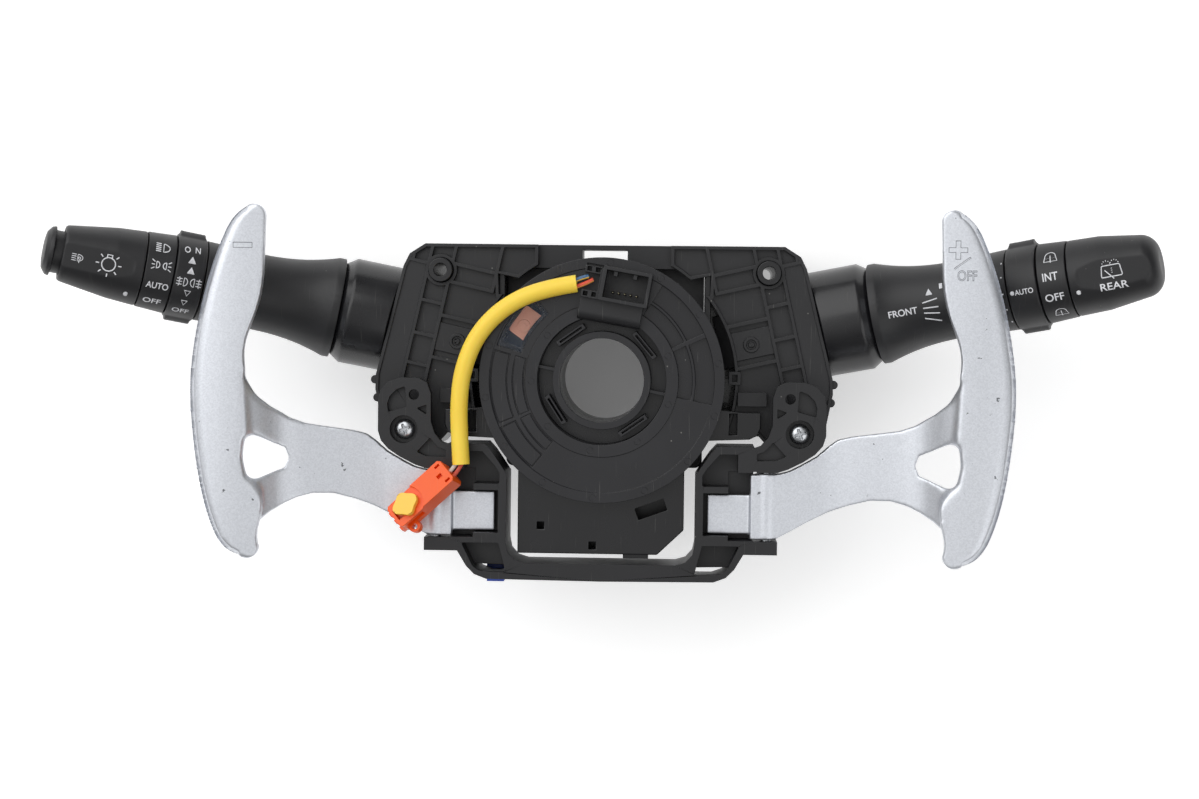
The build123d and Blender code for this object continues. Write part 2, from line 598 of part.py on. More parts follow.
def rotor():
    """The turning front of the clock spring, with its rings, ribs and hub."""
    panel = ROTOR_FRONT_Z - ROTOR_PANEL_DROP
    under = panel - ROTOR_PANEL_WALL
    hub_r = SHAFT_BORE_R + HUB_WALL
    skirt_r = CASE_R + RUN_GAP
    body = ring(ROTOR_R, skirt_r - 1.2, CASE_FRONT_Z + RUN_GAP, ROTOR_FRONT_Z)
    body += ring(ROTOR_R, ROTOR_RIM_INNER_R, under, ROTOR_FRONT_Z)
    body += ring(ROTOR_RIM_INNER_R + 1, ROTOR_COLLAR_INNER_R, under, panel)
    flush = ROTOR_FRONT_Z - ROTOR_FLUSH_DROP
    body += ring(ROTOR_RIM_INNER_R + 1, ROTOR_COLLAR_OUTER_R - 1, panel - 0.5, flush)
    body += ring(ROTOR_COLLAR_OUTER_R, ROTOR_COLLAR_INNER_R, ROTOR_WELL_Z - 1.8, ROTOR_FRONT_Z)
    body += ring(ROTOR_COLLAR_INNER_R + 0.5, hub_r - 0.5, ROTOR_WELL_Z - 1.8, ROTOR_WELL_Z)
    body += disc(hub_r, HUB_BACK_Z, HUB_FRONT_Z)
    rib_r = (ROTOR_MID_RIB_R - ROTOR_RIB / 2, ROTOR_MID_RIB_R + ROTOR_RIB / 2)
    bands = ((ROTOR_COLLAR_OUTER_R, rib_r[0]), (rib_r[1], ROTOR_RIM_INNER_R))
    for start_deg, end_deg in POCKET_DEG:
        for inner, outer in bands:
            body -= sector(outer, inner, start_deg, end_deg, panel, ROTOR_FRONT_Z + 1)
    for start_deg, end_deg in PANEL_DEG:
        for inner, outer in bands:
            whole = sector(outer - 0.3, inner + 0.5, start_deg, end_deg, flush - GROOVE, ROTOR_FRONT_Z)
            body -= whole - sector(outer - 0.3 - GROOVE, inner + 0.5 + GROOVE, start_deg + 0.6, end_deg - 0.6,
                                   flush - 2 * GROOVE, ROTOR_FRONT_Z)
    for angle in (40, 125, 213, 305):
        clip = block((hub_r + 1.2, hub_r + 3.4), (-6.4, 6.4), (ROTOR_WELL_Z - 0.5, HUB_FRONT_Z - 1.0))
        clip -= block((hub_r + 1.9, hub_r + 2.7), (-5.2, 5.2), (ROTOR_WELL_Z + 1, HUB_FRONT_Z + 1))
        body += Rot(0, 0, angle) * clip
    for angle in (-12, 168):
        reach = (hub_r - 0.3, ROTOR_COLLAR_INNER_R + 0.5)
        stop = block(reach, (-0.7, 0.7), (ROTOR_WELL_Z - 0.5, HUB_FRONT_Z - 2.0))
        body += Rot(0, 0, angle) * stop
    body -= sector(ROTOR_RIM_INNER_R - 0.8, 33.0, WINDOW_DEG[0], WINDOW_DEG[1], panel - 0.4, ROTOR_FRONT_Z + 1)
    body -= sector(ROTOR_RIM_INNER_R - 2.4, 34.6, WINDOW_DEG[0] + 3, WINDOW_DEG[1] - 3, under - 1, panel + 1)
    body -= tower_foot()
    body -= disc(SHAFT_BORE_R, HUB_BACK_Z - 1, ROTOR_FRONT_Z + 1)
    nodes["clock_spring_rotor"] = body
    window_front = ROTOR_FRONT_Z - 0.2
    nodes["indicator_window"] = sector(ROTOR_RIM_INNER_R - 1.0, 33.2, WINDOW_DEG[0] + 0.3, WINDOW_DEG[1] - 0.3,
                                       panel - 0.4, window_front)


def toothed_disc(teeth, hole, back, front, phase_deg):
    """A spur gear with straight-flanked teeth, module one."""
    root = teeth / 2 - 1.2
    tip = teeth / 2 + 0.85
    body = disc(root, back, front)
    step = 360 / teeth
    tooth = prism(outline([(root - 0.6, -0.95), (tip, -0.38), (tip, 0.38), (root - 0.6, 0.95)]), back, front)
    for count in range(teeth):
        body += Rot(0, 0, phase_deg + step * count) * tooth
    return body - disc(hole, back - 1, front + 1)


def cancel_cam():
    """The sleeve on the hub: lobes that cancel the turn stalk, and the drive gear."""
    hub_r = SHAFT_BORE_R + HUB_WALL
    gear_back = SENSOR_BACK_Z + 1.5
    body = toothed_disc(DRIVE_TEETH, hub_r + SNUG, gear_back, CASE_BACK_Z - 1.5, 0)
    body += ring(hub_r + 1.8, hub_r + SNUG, HUB_BACK_Z + 1, gear_back + 1)
    for angle in (0, 180):
        lobe = sector(hub_r + 4.6, hub_r + 1, angle - 14, angle + 14, HUB_BACK_Z + 1, HUB_BACK_Z + 5.5)
        body += lobe
    nodes["cancel_cam"] = body


def sensor_gears():
    """Two small gears with unlike tooth counts that read the steering angle."""
    for index, teeth in enumerate(SENSOR_TEETH):
        at = sensor_axis(index)
        step = 360 / teeth
        drive_step = 360 / DRIVE_TEETH
        into_drive = (SENSOR_ANGLES[index] / drive_step) % 1.0
        phase = SENSOR_ANGLES[index] + 180 + step * (0.5 + into_drive)
        gear = toothed_disc(teeth, GEAR_HOLE_R, SENSOR_BACK_Z + 1.5, CASE_BACK_Z - 1.5, phase)
        nodes["sensor_gear_" + "ab"[index]] = Pos(at[0], at[1], 0) * gear


def connector_tower():
    """The socket that faces the steering wheel, with its terminal block."""
    panel = ROTOR_FRONT_Z - ROTOR_PANEL_DROP
    half_x = TOWER_SIZE[0] / 2
    half_y = TOWER_SIZE[1] / 2
    body = block((-half_x, half_x), (-half_y, half_y), (panel, TOWER_FRONT_Z))
    wall = 1.4
    body -= block((-half_x + wall, half_x - wall), (-half_y + wall, half_y - wall), (TOWER_FRONT_Z - 10, TOWER_FRONT_Z + 1))
    for x in (-4.6, 3.0):
        body += block((x - 0.8, x + 0.8), (half_y - 3.4, half_y - 1.2), (TOWER_FRONT_Z - 9, TOWER_FRONT_Z - 1))
    terminal = block(TERMINAL_BLOCK_X, (-half_y, half_y - 1), (panel, TOWER_FRONT_Z - 2))
    notch_x = (TERMINAL_BLOCK_X[0] - 1, TERMINAL_BLOCK_X[1] - 1.0)
    terminal -= block(notch_x, (-3.7, 3.0), (TOWER_FRONT_Z - 7, TOWER_FRONT_Z))
    for x in (-14.9, -11.6):
        for y in (-5.1, 4.6):
            terminal -= block((x - 0.8, x + 0.8), (y - 0.8, y + 0.8), (TOWER_FRONT_Z - 6, TOWER_FRONT_Z))
    shield = block((-16.6, half_x - 1.5), (-half_y - 8.6, -half_y + 0.5), (ROTOR_FRONT_Z, ROTOR_FRONT_Z + 5.0))
    shield = fillet(shield.edges().filter_by(Axis.X).group_by(Axis.Y)[0].sort_by(Axis.Z)[-1], 3.5)
    tower = body + terminal + shield
    pins = []
    for count in range(5):
        x = 2.35 * (count - 2)
        pin = block((x - 0.32, x + 0.32), (-3.2, -2.56), (TOWER_FRONT_Z - 12, TOWER_FRONT_Z - 5))
        tower -= pin
        pins.append(pin)
    nodes["connector_tower"] = tower_place(tower)
    nodes["tower_pins"] = tower_place(Compound(children=pins))


# Airbag lead


def route_radii(points):
    """Each corner's radius: as large as its two runs allow."""
    radii = []
    for before, here, after in zip(points, points[1:], points[2:]):
        first = Vector(*here) - Vector(*before)
        second = Vector(*after) - Vector(*here)
        turn = math.radians(first.get_angle(second))
        radii.append(0.45 * min(first.length, second.length) / math.tan(turn / 2))
    return radii


def airbag_lead():
    """The sleeved lead from the tower to the orange plug that lies on the bracket."""
    radii = route_radii(SLEEVE_ROUTE)
    print("sleeve radii", [round(r, 1) for r in radii])
    path = FilletPolyline(*SLEEVE_ROUTE, radius=radii)
    start = Plane(origin=path @ 0, z_dir=path % 0)
    tube = sweep(start * Circle(SLEEVE_D / 2), path=path)
    expected = math.pi * (SLEEVE_D / 2) ** 2 * path.length
    print("sleeve length", round(path.length, 1), "volume ratio", round(tube.volume / expected, 4))
    nodes["harness_sleeve"] = tube
    leads = []
    for begin, end in LEAD_ENDS:
        line = Line(begin, end)
        lead = sweep(Plane(origin=line @ 0, z_dir=line % 0) * Circle(LEAD_R), path=line)
        leads.append(lead - tube)
    plug, lock = squib_plug()
    for lead in leads:
        plug -= lead
    nodes["harness_wires"] = Compound(children=leads)
    nodes["squib_plug"] = plug
    nodes["squib_lock"] = lock


def lock_outline():
    """The lobed head of the plug's lock, a smooth closed curve."""
    points = []
    for count in range(24):
        a = math.radians(15 * count)
        reach = 4.6 + 0.5 * math.cos(4 * a + 0.6) + 0.35 * math.cos(2 * a)
        points.append((LOCK_CENTRE[0] + reach * math.cos(a), LOCK_CENTRE[1] + reach * math.sin(a)))
    return make_face(Spline(*points, periodic=True))


def squib_plug():
    """The plug of the airbag lead and the sliding lock in its recess."""
    place = Pos(*PLUG_CENTRE) * Rot(0, 0, PLUG_ANGLE_DEG) * Rot(PLUG_ROLL_DEG, 0, 0)
    half = PLUG_LENGTH / 2
    wide = PLUG_WIDTH / 2
    top = PLUG_DEPTH / 2
    floor = top - 1.2
    plug = block((-half, half), (-wide, wide), (-top, top))
    plug = chamfer(plug.edges().filter_by(Axis.Z), 1.0)
    recess = disc(7.2, floor, top + 1, LOCK_CENTRE)
    recess += block((LOCK_CENTRE[0], half + 1), (-7.2, 7.2), (floor, top + 1))
    plug -= recess
    for x, y, size in ((-11.8, -3.5, 0.9), (-10.2, 0.2, 1.5), (-11.8, 3.6, 0.9)):
        plug -= block((x - 1.1, x + 1.1), (y - size / 2, y + size / 2), (top - 2, top + 1))
    for side in (-1, 1):
        groove = sorted((side * (wide - 1.2), side * (wide + 1)))
        plug -= block((4.0, 12.0), groove, (-1.6, 1.8))
    for y in (-3.6, 0.0, 3.6):
        plug += block((half - 0.5, half + 1.2), (y - 0.9, y + 0.9), (-top + 0.6, -top + 4.4))
    ear = disc(2.4, -top, -top + 3.0, (10.6, wide + 0.9)) - disc(1.1, -top - 1, top, (10.6, wide + 1.1))
    plug += ear - block((0, 20), (-wide, wide - 0.2), (-top - 1, top))
    slot_x = (LOCK_CENTRE[0] - 3.0, LOCK_CENTRE[0] + 3.0 + LOCK_TRAVEL)
    plug -= block(slot_x, (-2.6, 2.2), (floor - 3.2, floor + 1))
    lock = prism(lock_outline(), floor + SNUG, floor + 2.4)
    lock += block((slot_x[0] + 0.2, slot_x[0] + 5.8), (-2.4, 2.0), (floor - 3.0, floor + 1))
    return place * plug, place * lock


# Stalks, in the stalk's own axes


def swing_block():
    """The block on the upright pin that lets the stalk swing up and down."""
    body = block((-15, 5), (-SWING_HALF, SWING_HALF), (-SWING_HALF, SWING_HALF))
    body -= block((-11, 6), (-7, 7), (-7.6, 7.6))
    body += disc(TURN_PIN_R, -TURN_PIN_REACH, 0.5 - SWING_HALF)
    body += disc(TURN_PIN_R, SWING_HALF - 0.5, TURN_PIN_REACH)
    body -= rod_y(TILT_PIN_R + PIN_FIT, -SWING_HALF - 1, SWING_HALF + 1)
    body -= rod_x(DETENT_R + PIN_FIT, -16, -10)
    add_pair("swing_block", on_stalk(body))
    plunger = rod_x(DETENT_R, -17.6, -11.4) + Pos(-17.6, 0, 0) * Sphere(DETENT_R)
    add_pair("detent_plunger", on_stalk(plunger))


def lever_core(tube_end):
    """The stalk's inner carrier: cross pin, slim shaft and the tube for the knobs."""
    body = block((-8, 7), (-6.6, 6.6), (-4, 4))
    body += rod_y(TILT_PIN_R, SEAT - SWING_HALF, SWING_HALF - SEAT)
    body += rod_x(INNER_SHAFT_R, 6, LIP_SPHERE_R - 0.4)
    body += tube_core(CORE_TUBE_R, LIP_SPHERE_R - 0.5, tube_end)
    body -= BEND * rod_x(CORE_TUBE_BORE_R, STALK_BEND_AT + 4, tube_end + 1)
    return on_stalk(body)


def tube_core(radius, start, end):
    """A round bar that follows the stalk's bend."""
    bar = rod_x(radius, start, STALK_BEND_AT) + Pos(STALK_BEND_AT, 0, 0) * Sphere(radius)
    return bar + BEND * rod_x(radius, STALK_BEND_AT, end)


NECK_SECTIONS = [(0.16, 0.30, 17.7), (0.34, 0.68, 16.0), (0.55, 0.95, NECK_R)]
NECK_SECTIONS += [(0.8, 1.0, 15.6), (1.0, 1.0, NECK_END_R)]


def lever_neck():
    """The flared shell of the stalk: a ball face about the pivot, then a bent neck."""
    reach = NECK_END - FLARE_END
    sections = [Plane(origin=(FLARE_END, 0, 0), z_dir=(1, 0, 0)) * Circle(FLARE_R)]
    lean = math.radians(STALK_BEND_DEG)
    for share, turned, radius in NECK_SECTIONS:
        past = FLARE_END + share * reach - STALK_BEND_AT
        centre = (STALK_BEND_AT + past * math.cos(lean), 0, max(past, 0) * math.sin(lean))
        tilt = lean * turned
        place = Plane(origin=centre, z_dir=(math.cos(tilt), 0, math.sin(tilt)))
        sections.append(place * Circle(radius))
    shell = loft(sections)
    back = rod_x(FLARE_R, LIP_SPHERE_R - 8, FLARE_END)
    body = shell + back - Sphere(LIP_SPHERE_R)
    body -= tube_core(CORE_TUBE_R + SNUG, LIP_SPHERE_R - 10, NECK_END + 1)
    add_pair("lever_neck", on_stalk(body))


def grip_ring():
    """The turning ring next to the neck, with a thumb grip above and below."""
    middle = (RING_START + RING_END) / 2
    length = RING_END - RING_START
    body = rod_x(RING_R, RING_START, RING_END)
    grip = extrude(Ellipse(9.0, RING_R + RING_GRIP), length / 2 - 0.8, both=True)
    body += Pos(middle, 0, 0) * Rot(0, 90, 0) * grip
    for side in (-1, 1):
        for across in (-3.2, 0.0, 3.2):
            groove = rod_x(0.7, RING_START + 1.5, RING_END - 1.5)
            body -= Pos(0, side * (RING_R + RING_GRIP + 0.3), across) * groove
    body -= rod_x(CORE_TUBE_R + RUN_GAP, RING_START - 1, RING_END + 1)
    return past_bend(body)


def scale_ring():
    """The fixed ring that carries the marks between the turning parts."""
    body = lathe([
        (SCALE_START, CORE_TUBE_R + SNUG),
        (SCALE_START, SCALE_R + 0.3),
        (SCALE_END, SCALE_R - 0.4),
        (SCALE_END, CORE_TUBE_R + SNUG),
    ])
    return past_bend(body)


def knob_wedge(end, tip_depth):
    """The flat front and back that the knob's round body is cut to."""
    start_depth = KNOB_R - 0.6
    points = [
        (KNOB_START - 1, start_depth + 3),
        (KNOB_START + 4, start_depth),
        (end + 1, tip_depth),
        (end + 1, -tip_depth),
        (KNOB_START + 4, -start_depth),
        (KNOB_START - 1, -start_depth - 3),
    ]
    side_view = make_face(Polyline(*[(x, 0, z) for x, z in points], close=True))
    return extrude(side_view, 30, dir=(0, 1, 0)) + extrude(side_view, 30, dir=(0, -1, 0))


def light_knob():
    """The turning end of the left stalk, hollow for the end button."""
    bore = CORE_TUBE_R + RUN_GAP
    body = lathe([
        (KNOB_START, 0),
        (KNOB_START, KNOB_R),
        (KNOB_START + 11, KNOB_R - 0.8),
        (LIGHT_KNOB_END - 1.0, LIGHT_KNOB_TIP_R + 0.4),
        (LIGHT_KNOB_END, LIGHT_KNOB_TIP_R - 0.2),
        (LIGHT_KNOB_END, 0),
    ])
    body &= knob_wedge(LIGHT_KNOB_END, 9.8)
    body -= rod_x(bore, KNOB_START - 1, LIGHT_KNOB_END - BUTTON_WELL - 1.6)
    body -= rod_x(BUTTON_STEM_R + RUN_GAP, LIGHT_KNOB_END - BUTTON_WELL, LIGHT_KNOB_END + 1)
    body -= rod_x(2.6, LIGHT_KNOB_END - BUTTON_WELL - 2, LIGHT_KNOB_END)
    return past_bend(body)


def end_button():
    """The push button on the left stalk's end, with its guide stem."""
    neck = LIGHT_KNOB_END + BUTTON_TRAVEL + RUN_GAP
    body = lathe([
        (LIGHT_KNOB_END - BUTTON_STEM, 0),
        (LIGHT_KNOB_END - BUTTON_STEM, BUTTON_STEM_R),
        (neck, BUTTON_STEM_R),
        (neck, BUTTON_R),
        (BUTTON_END - 2.0, BUTTON_R - 0.5),
        (BUTTON_END - 0.4, BUTTON_R - 2.6),
        (BUTTON_END, BUTTON_R - 5.0),
        (BUTTON_END, 0),
    ])
    return past_bend(body)


def end_button_spring():
    """The spring under the end button, as a closed ribbed coil."""
    low = LIGHT_KNOB_END - BUTTON_WELL + BUTTON_TRAVEL + RUN_GAP
    high = LIGHT_KNOB_END - BUTTON_STEM
    turns = 4
    step = (high - low) / turns
    points = [(low, 3.6)]
    for turn in range(turns):
        points.append((low + step * (turn + 0.5), 4.6))
        points.append((low + step * (turn + 1), 3.9))
    points.append((high, 3.4))
    return past_bend(lathe(points) - rod_x(3.2, low - 1, high + 1))


def rear_knob():
    """The turning end of the right stalk, closed by a rounded nose."""
    nose = [
        Line((KNOB_START, 0), (KNOB_START, KNOB_R)),
        Line((KNOB_START, KNOB_R), (KNOB_START + 12, KNOB_R - 0.4)),
        Line((KNOB_START + 12, KNOB_R - 0.4), (REAR_KNOB_END - 5.5, REAR_KNOB_TIP_R)),
        ThreePointArc((REAR_KNOB_END - 5.5, REAR_KNOB_TIP_R), (REAR_KNOB_END - 1.4, 9.2), (REAR_KNOB_END, 4.0)),
        Line((REAR_KNOB_END, 4.0), (REAR_KNOB_END, 0)),
        Line((REAR_KNOB_END, 0), (KNOB_START, 0)),
    ]
    body = revolve(make_face(nose), Axis.X)
    body &= knob_wedge(REAR_KNOB_END, 10.2)
    body -= rod_x(CORE_TUBE_R + RUN_GAP, KNOB_START - 1, REAR_KNOB_END - 12)
    return past_bend(body)


def stalks():
    """Both stalks: the left for lights and turning, the right for the wipers."""
    swing_block()
    nodes["right_lever_core"] = lever_core(REAR_KNOB_END - 12.4)
    nodes["left_lever_core"] = mirror(lever_core(LIGHT_KNOB_END - BUTTON_WELL - 2.0), about=Plane.YZ)
    lever_neck()
    ring_body = grip_ring()
    nodes["interval_ring"] = ring_body
    nodes["fog_ring"] = mirror(ring_body, about=Plane.YZ)
    add_pair("scale_ring", scale_ring())
    nodes["rear_knob"] = rear_knob()
    nodes["light_knob"] = mirror(light_knob(), about=Plane.YZ)
    nodes["end_button"] = mirror(end_button(), about=Plane.YZ)
    nodes["end_button_spring"] = mirror(end_button_spring(), about=Plane.YZ)


# Paddle bracket and paddles

EAR_OUTLINE = [
    (59.0, -26.2), (62.5, -25.0), (65.4, -21.5), (66.9, -17.0), (67.0, -6.0), (68.6, -1.6), (72.0, 0.1),
    (79.3, 0.1), (84.0, -1.6), (87.0, -5.0), (87.8, -9.0), (87.8, -20.8), (86.6, -24.6), (83.6, -28.0),
    (79.0, -31.0), (73.0, -34.0), (69.0, -35.3), (59.0, -35.3),
]
BLOCK_OUTLINE = [
    (0, -72.2), (29.5, -72.2), (33.5, -71.0), (36.2, -68.0), (37.0, -64.0), (37.0, -37.0), (38.3, -35.0),
    (42.7, -28.5), (45.5, -25.4), (60.0, -25.4), (60.0, -62.4), (69.3, -62.4), (69.3, TONGUE_BOTTOM_Y),
    (56.2, TONGUE_BOTTOM_Y), (52.6, -73.6), (49.4, -76.8), (44.6, -78.6), (0, -79.0),
]


def half_bracket():
    """The right half of the U-shaped bracket: ear, block, tongue and bar."""
    wall = 1.6
    body = prism(outline(BLOCK_OUTLINE), BRACKET_BACK_Z, BRACKET_FRONT_Z)
    body -= block((60.0, 75), (-80, -60), (BRACKET_BACK_Z - 1, HINGE_Z - 6))
    body += prism(outline(EAR_OUTLINE), EAR_BACK_Z, BRACKET_FRONT_Z)
    body += block((59.0, 69.4), (HINGE_TOP_Y + HINGE_LUG_GAP, -26.6), (HINGE_Z - 5, BRACKET_FRONT_Z))
    body += disc(6.2, COVER_FRONT_Z, BRACKET_FRONT_Z - 0.5, (SCREW_X, SCREW_Y))
    body -= disc(COUNTERBORE_R, COUNTERBORE_Z, BRACKET_FRONT_Z + 1, (SCREW_X, SCREW_Y))
    body -= disc(SCREW_SHANK_R + 0.25, COVER_FRONT_Z - 1, BRACKET_FRONT_Z, (SCREW_X, SCREW_Y))
    body -= disc(2.0, EAR_BACK_Z - 1, BRACKET_FRONT_Z + 1, (73.7, -6.5))
    pocket_floor = BRACKET_FRONT_Z - EAR_POCKET
    fan = [(77.2, -3.2), (80.6, -4.6), (83.2, -7.2), (84.2, -10.2), (83.8, -13.4), (76.6, -11.4)]
    body -= prism(outline(fan, 0.6), pocket_floor, BRACKET_FRONT_Z + 1)
    dart = [(68.7, -10.4), (72.6, -11.8), (68.7, -14.2)]
    body -= prism(outline(dart, 0.3), pocket_floor, BRACKET_FRONT_Z + 1)
    lower = [(67.2, -23.4), (72.4, -29.0), (68.6, -30.6), (61.0, -30.8), (61.0, -28.2), (64.0, -27.0)]
    body -= prism(outline(lower, 0.5), pocket_floor, BRACKET_FRONT_Z + 1)
    upper = [(46.6, -28.4), (53.6, -28.4), (53.6, -41.0), (39.8, -41.0), (39.8, -36.8), (41.6, -34.0)]
    body -= prism(outline(upper, 0.6), BRACKET_FRONT_Z - 10, BRACKET_FRONT_Z + 1)
    low = [(40.0, -64.4), (54.6, -64.4), (50.0, -73.6), (47.0, -75.6), (37.0, -76.0)]
    body -= prism(outline(low, 0.6), BRACKET_FRONT_Z - 10, BRACKET_FRONT_Z + 1)
    body -= block((40.2, 58.4), (-60.4, -43.6), (SWITCH_FRONT_Z, BRACKET_FRONT_Z + 1))
    body -= block((50, 61), (HINGE_BOTTOM_Y - 0.4, HINGE_TOP_Y + 0.4), (HINGE_Z - 6, BRACKET_FRONT_Z + 1))
    body += block((58.4, 60.0), (HINGE_BOTTOM_Y - 0.4, HINGE_TOP_Y + 0.4), (BRACKET_BACK_Z, SWITCH_FRONT_Z))
    body -= block((50, 61), (-43.6, HINGE_TOP_Y + 1), (BRACKET_FRONT_Z - 20, BRACKET_FRONT_Z + 1)) & block(
        (59.2, 61), (-43.6, -35.0), (HINGE_Z - 6, 80))
    body -= block((43.0, 57.2), (-58.2, -46.0), (BRACKET_BACK_Z - 1, SWITCH_FRONT_Z + 0.2))
    body -= Pos(HINGE_X, 0, HINGE_Z) * rod_y(HINGE_PIN_R + PIN_FIT, -66.4, -29.0)
    inner = [(-1, -77.2), (44.0, -77.0), (48.0, -75.6), (50.4, -73.6), (35.0, -74.0), (-1, -74.0)]
    body -= prism(outline(inner), BRACKET_BACK_Z - 1, BRACKET_FRONT_Z - wall - 2)
    return body


def paddle_bracket():
    """The whole bracket and the two screws through its ears."""
    half = half_bracket()
    nodes["paddle_bracket"] = half + mirror(half, about=Plane.YZ)
    screws = []
    for side in (-1, 1):
        head = Pos(0, 0, COUNTERBORE_Z) * revolve(make_face([
            Line((0, 0, 0), (SCREW_HEAD_R, 0, 0)),
            Line((SCREW_HEAD_R, 0, 0), (SCREW_HEAD_R, 0, 1.2)),
            ThreePointArc((SCREW_HEAD_R, 0, 1.2), (2.6, 0, 2.5), (0, 0, 2.9)),
            Line((0, 0, 2.9), (0, 0, 0)),
        ]), Axis.Z)
        for turn in (20, 110):
            head -= Pos(0, 0, COUNTERBORE_Z + 2.4) * Rot(0, 0, turn) * Box(4.0, 0.9, 2.4)
        shank = disc(SCREW_SHANK_R, SCREW_END_Z, COUNTERBORE_Z)
        screws.append(Pos(side * SCREW_X, SCREW_Y, 0) * (head + shank))
    nodes["bracket_screws"] = Compound(children=screws)


ARM_OUTLINE = [
    (58.6, -36.2), (68.8, -36.0), (73.5, -34.8), (78.6, -32.2), (84.4, -28.9), (89.0, -24.8), (92.7, -22.1),
    (98.0, -20.8), (108.0, -19.4), (116.0, -18.2), (122.0, -16.0), (128.5, -11.6), (133.5, -7.0), (136.8, -1.0),
    (141.0, 6.0), (146.0, -24.0), (141.0, -50.0), (133.0, -56.5), (129.0, -52.8), (124.0, -49.6), (119.0, -47.2),
    (113.0, -45.6), (105.0, -45.6), (96.0, -48.0), (89.0, -50.6), (80.0, -55.2), (73.5, -58.9), (69.0, -61.3),
    (63.0, -61.8), (58.6, -61.8),
]


BLADE_EDGE = [
    (137.0, 65.9), (141.2, 62.8), (146.4, 54.0), (152.6, 35.6), (157.2, 14.0), (158.8, -2.0),
    (158.0, -20.0), (155.2, -40.0), (150.8, -56.4), (145.6, -65.6), (139.2, -69.0),
]


def blade_outline():
    """The crescent of the paddle's blade, as smooth curves between its corners."""
    outer = Spline(*BLADE_EDGE)
    foot = ThreePointArc((139.2, -69.0), (133.6, -69.2), (131.8, -65.6))
    inner_low = Spline((131.8, -65.6), (132.4, -60.0), (131.2, -54.4), (134.5, -40.0))
    inner_mid = Line((134.5, -40.0), (137.6, 6.0))
    inner_top = Spline((137.6, 6.0), (136.0, 18.0), (132.6, 27.4), (130.8, 36.0), (130.0, 50.0), (129.6, 61.6))
    head = ThreePointArc((129.6, 61.6), (131.4, 66.0), (137.0, 65.9))
    return make_face([outer, foot, inner_low, inner_mid, inner_top, head])


def sheet(line, lead_in):
    """A bent plate as thick as the arm: its front follows a line of (x, z) points seen from below."""
    edges = []
    for drop in (0.0, ARM_THICK):
        path = [(x, 0, z - drop) for x, z in line]
        edges.append(Line(path[0], path[1]))
        edges.append(Spline(*path[1:], tangents=[(1, 0, lead_in), (1, 0, -0.12)]))
    edges.append(Line(edges[1] @ 1, edges[3] @ 1))
    edges.append(Line(edges[0] @ 0, edges[2] @ 0))
    return Pos(0, 80, 0) * extrude(make_face(edges), 160, dir=(0, -1, 0))


def arm_sheet():
    """The arm's plate: flat at the hinge, then curving up behind the blade."""
    return sheet([
        (HINGE_X - 15.0, ARM_FRONT_Z),
        (ARM_FLAT_END_X - 6, ARM_FRONT_Z),
        (ARM_FLAT_END_X + 5, ARM_FRONT_Z + 0.7),
        (ARM_FLAT_END_X + 14, ARM_FRONT_Z + 3.6),
        (BLADE_START_X - 11, BLADE_FRONT_Z - 11.2),
        (BLADE_START_X - 5, BLADE_FRONT_Z - 5.6),
        (BLADE_START_X, BLADE_FRONT_Z - 2.0),
        (BLADE_START_X + 10, BLADE_FRONT_Z - 1.2),
    ], 0.0)


def blade_sheet():
    """The blade's plate, slightly crowned across its width."""
    return sheet([
        (BLADE_START_X - 14, BLADE_FRONT_Z - 2.2),
        (BLADE_START_X - 9, BLADE_FRONT_Z - 1.6),
        (BLADE_START_X + 10, BLADE_FRONT_Z),
        (BLADE_START_X + 25, BLADE_FRONT_Z - 1.4),
    ], 0.12)


def edge_bevel():
    """The wedge cut off the blade's front along its outer edge."""
    width, depth = BLADE_BEVEL
    path = Spline(*[(x, y, BLADE_FRONT_Z) for x, y in BLADE_EDGE])
    outward = Vector(0, 0, -1).cross(path % 0)
    start = Plane(origin=path @ 0, x_dir=outward, z_dir=path % 0)
    up = 1 if start.y_dir.Z > 0 else -1
    wedge = [(-width, up * -0.1), (1.0, up * -(depth + 0.4)), (3.0, up * 3.0), (-width, up * 3.0)]
    return sweep(start * make_face(Polyline(*wedge, close=True)), path=path)


def paddle():
    """One cast paddle: blade, arm, hinge barrel and the tab for its switch."""
    back = ARM_FRONT_Z - 18.0
    front = BLADE_FRONT_Z + 12.0
    blade = prism(blade_outline(), back, front) & blade_sheet()
    arm = prism(outline(ARM_OUTLINE), back, front) & arm_sheet()
    hole = outline([(137.4, -23.2), (134.2, -22.8), (123.4, -27.6), (122.0, -31.6), (123.6, -35.4),
                    (134.2, -39.6), (136.8, -38.2), (138.2, -31.0)], 0.9)
    body = blade + arm - prism(hole, back, front)
    body -= edge_bevel()
    barrel = rod_y(HINGE_BARREL_R, HINGE_BOTTOM_Y, HINGE_TOP_Y)
    room = rod_y(HINGE_BARREL_R - 0.7, *SPRING_ROOM_Y)
    barrel -= room
    body -= Pos(HINGE_X, 0, HINGE_Z) * room
    body += Pos(HINGE_X, 0, HINGE_Z) * barrel
    body -= Pos(HINGE_X, 0, HINGE_Z) * rod_y(HINGE_PIN_R + PIN_FIT, -70, -30)
    tab_x = (TAB_END_X, HINGE_X - HINGE_BARREL_R + 1.2)
    tab = block(tab_x, (-59.8, -44.5), (TAB_FRONT_Z - TAB_THICK, TAB_FRONT_Z))
    body += tab - Pos(HINGE_X, 0, HINGE_Z) * rod_y(HINGE_BARREL_R - 0.5, -80, -30)
    add_pair("paddle", body)


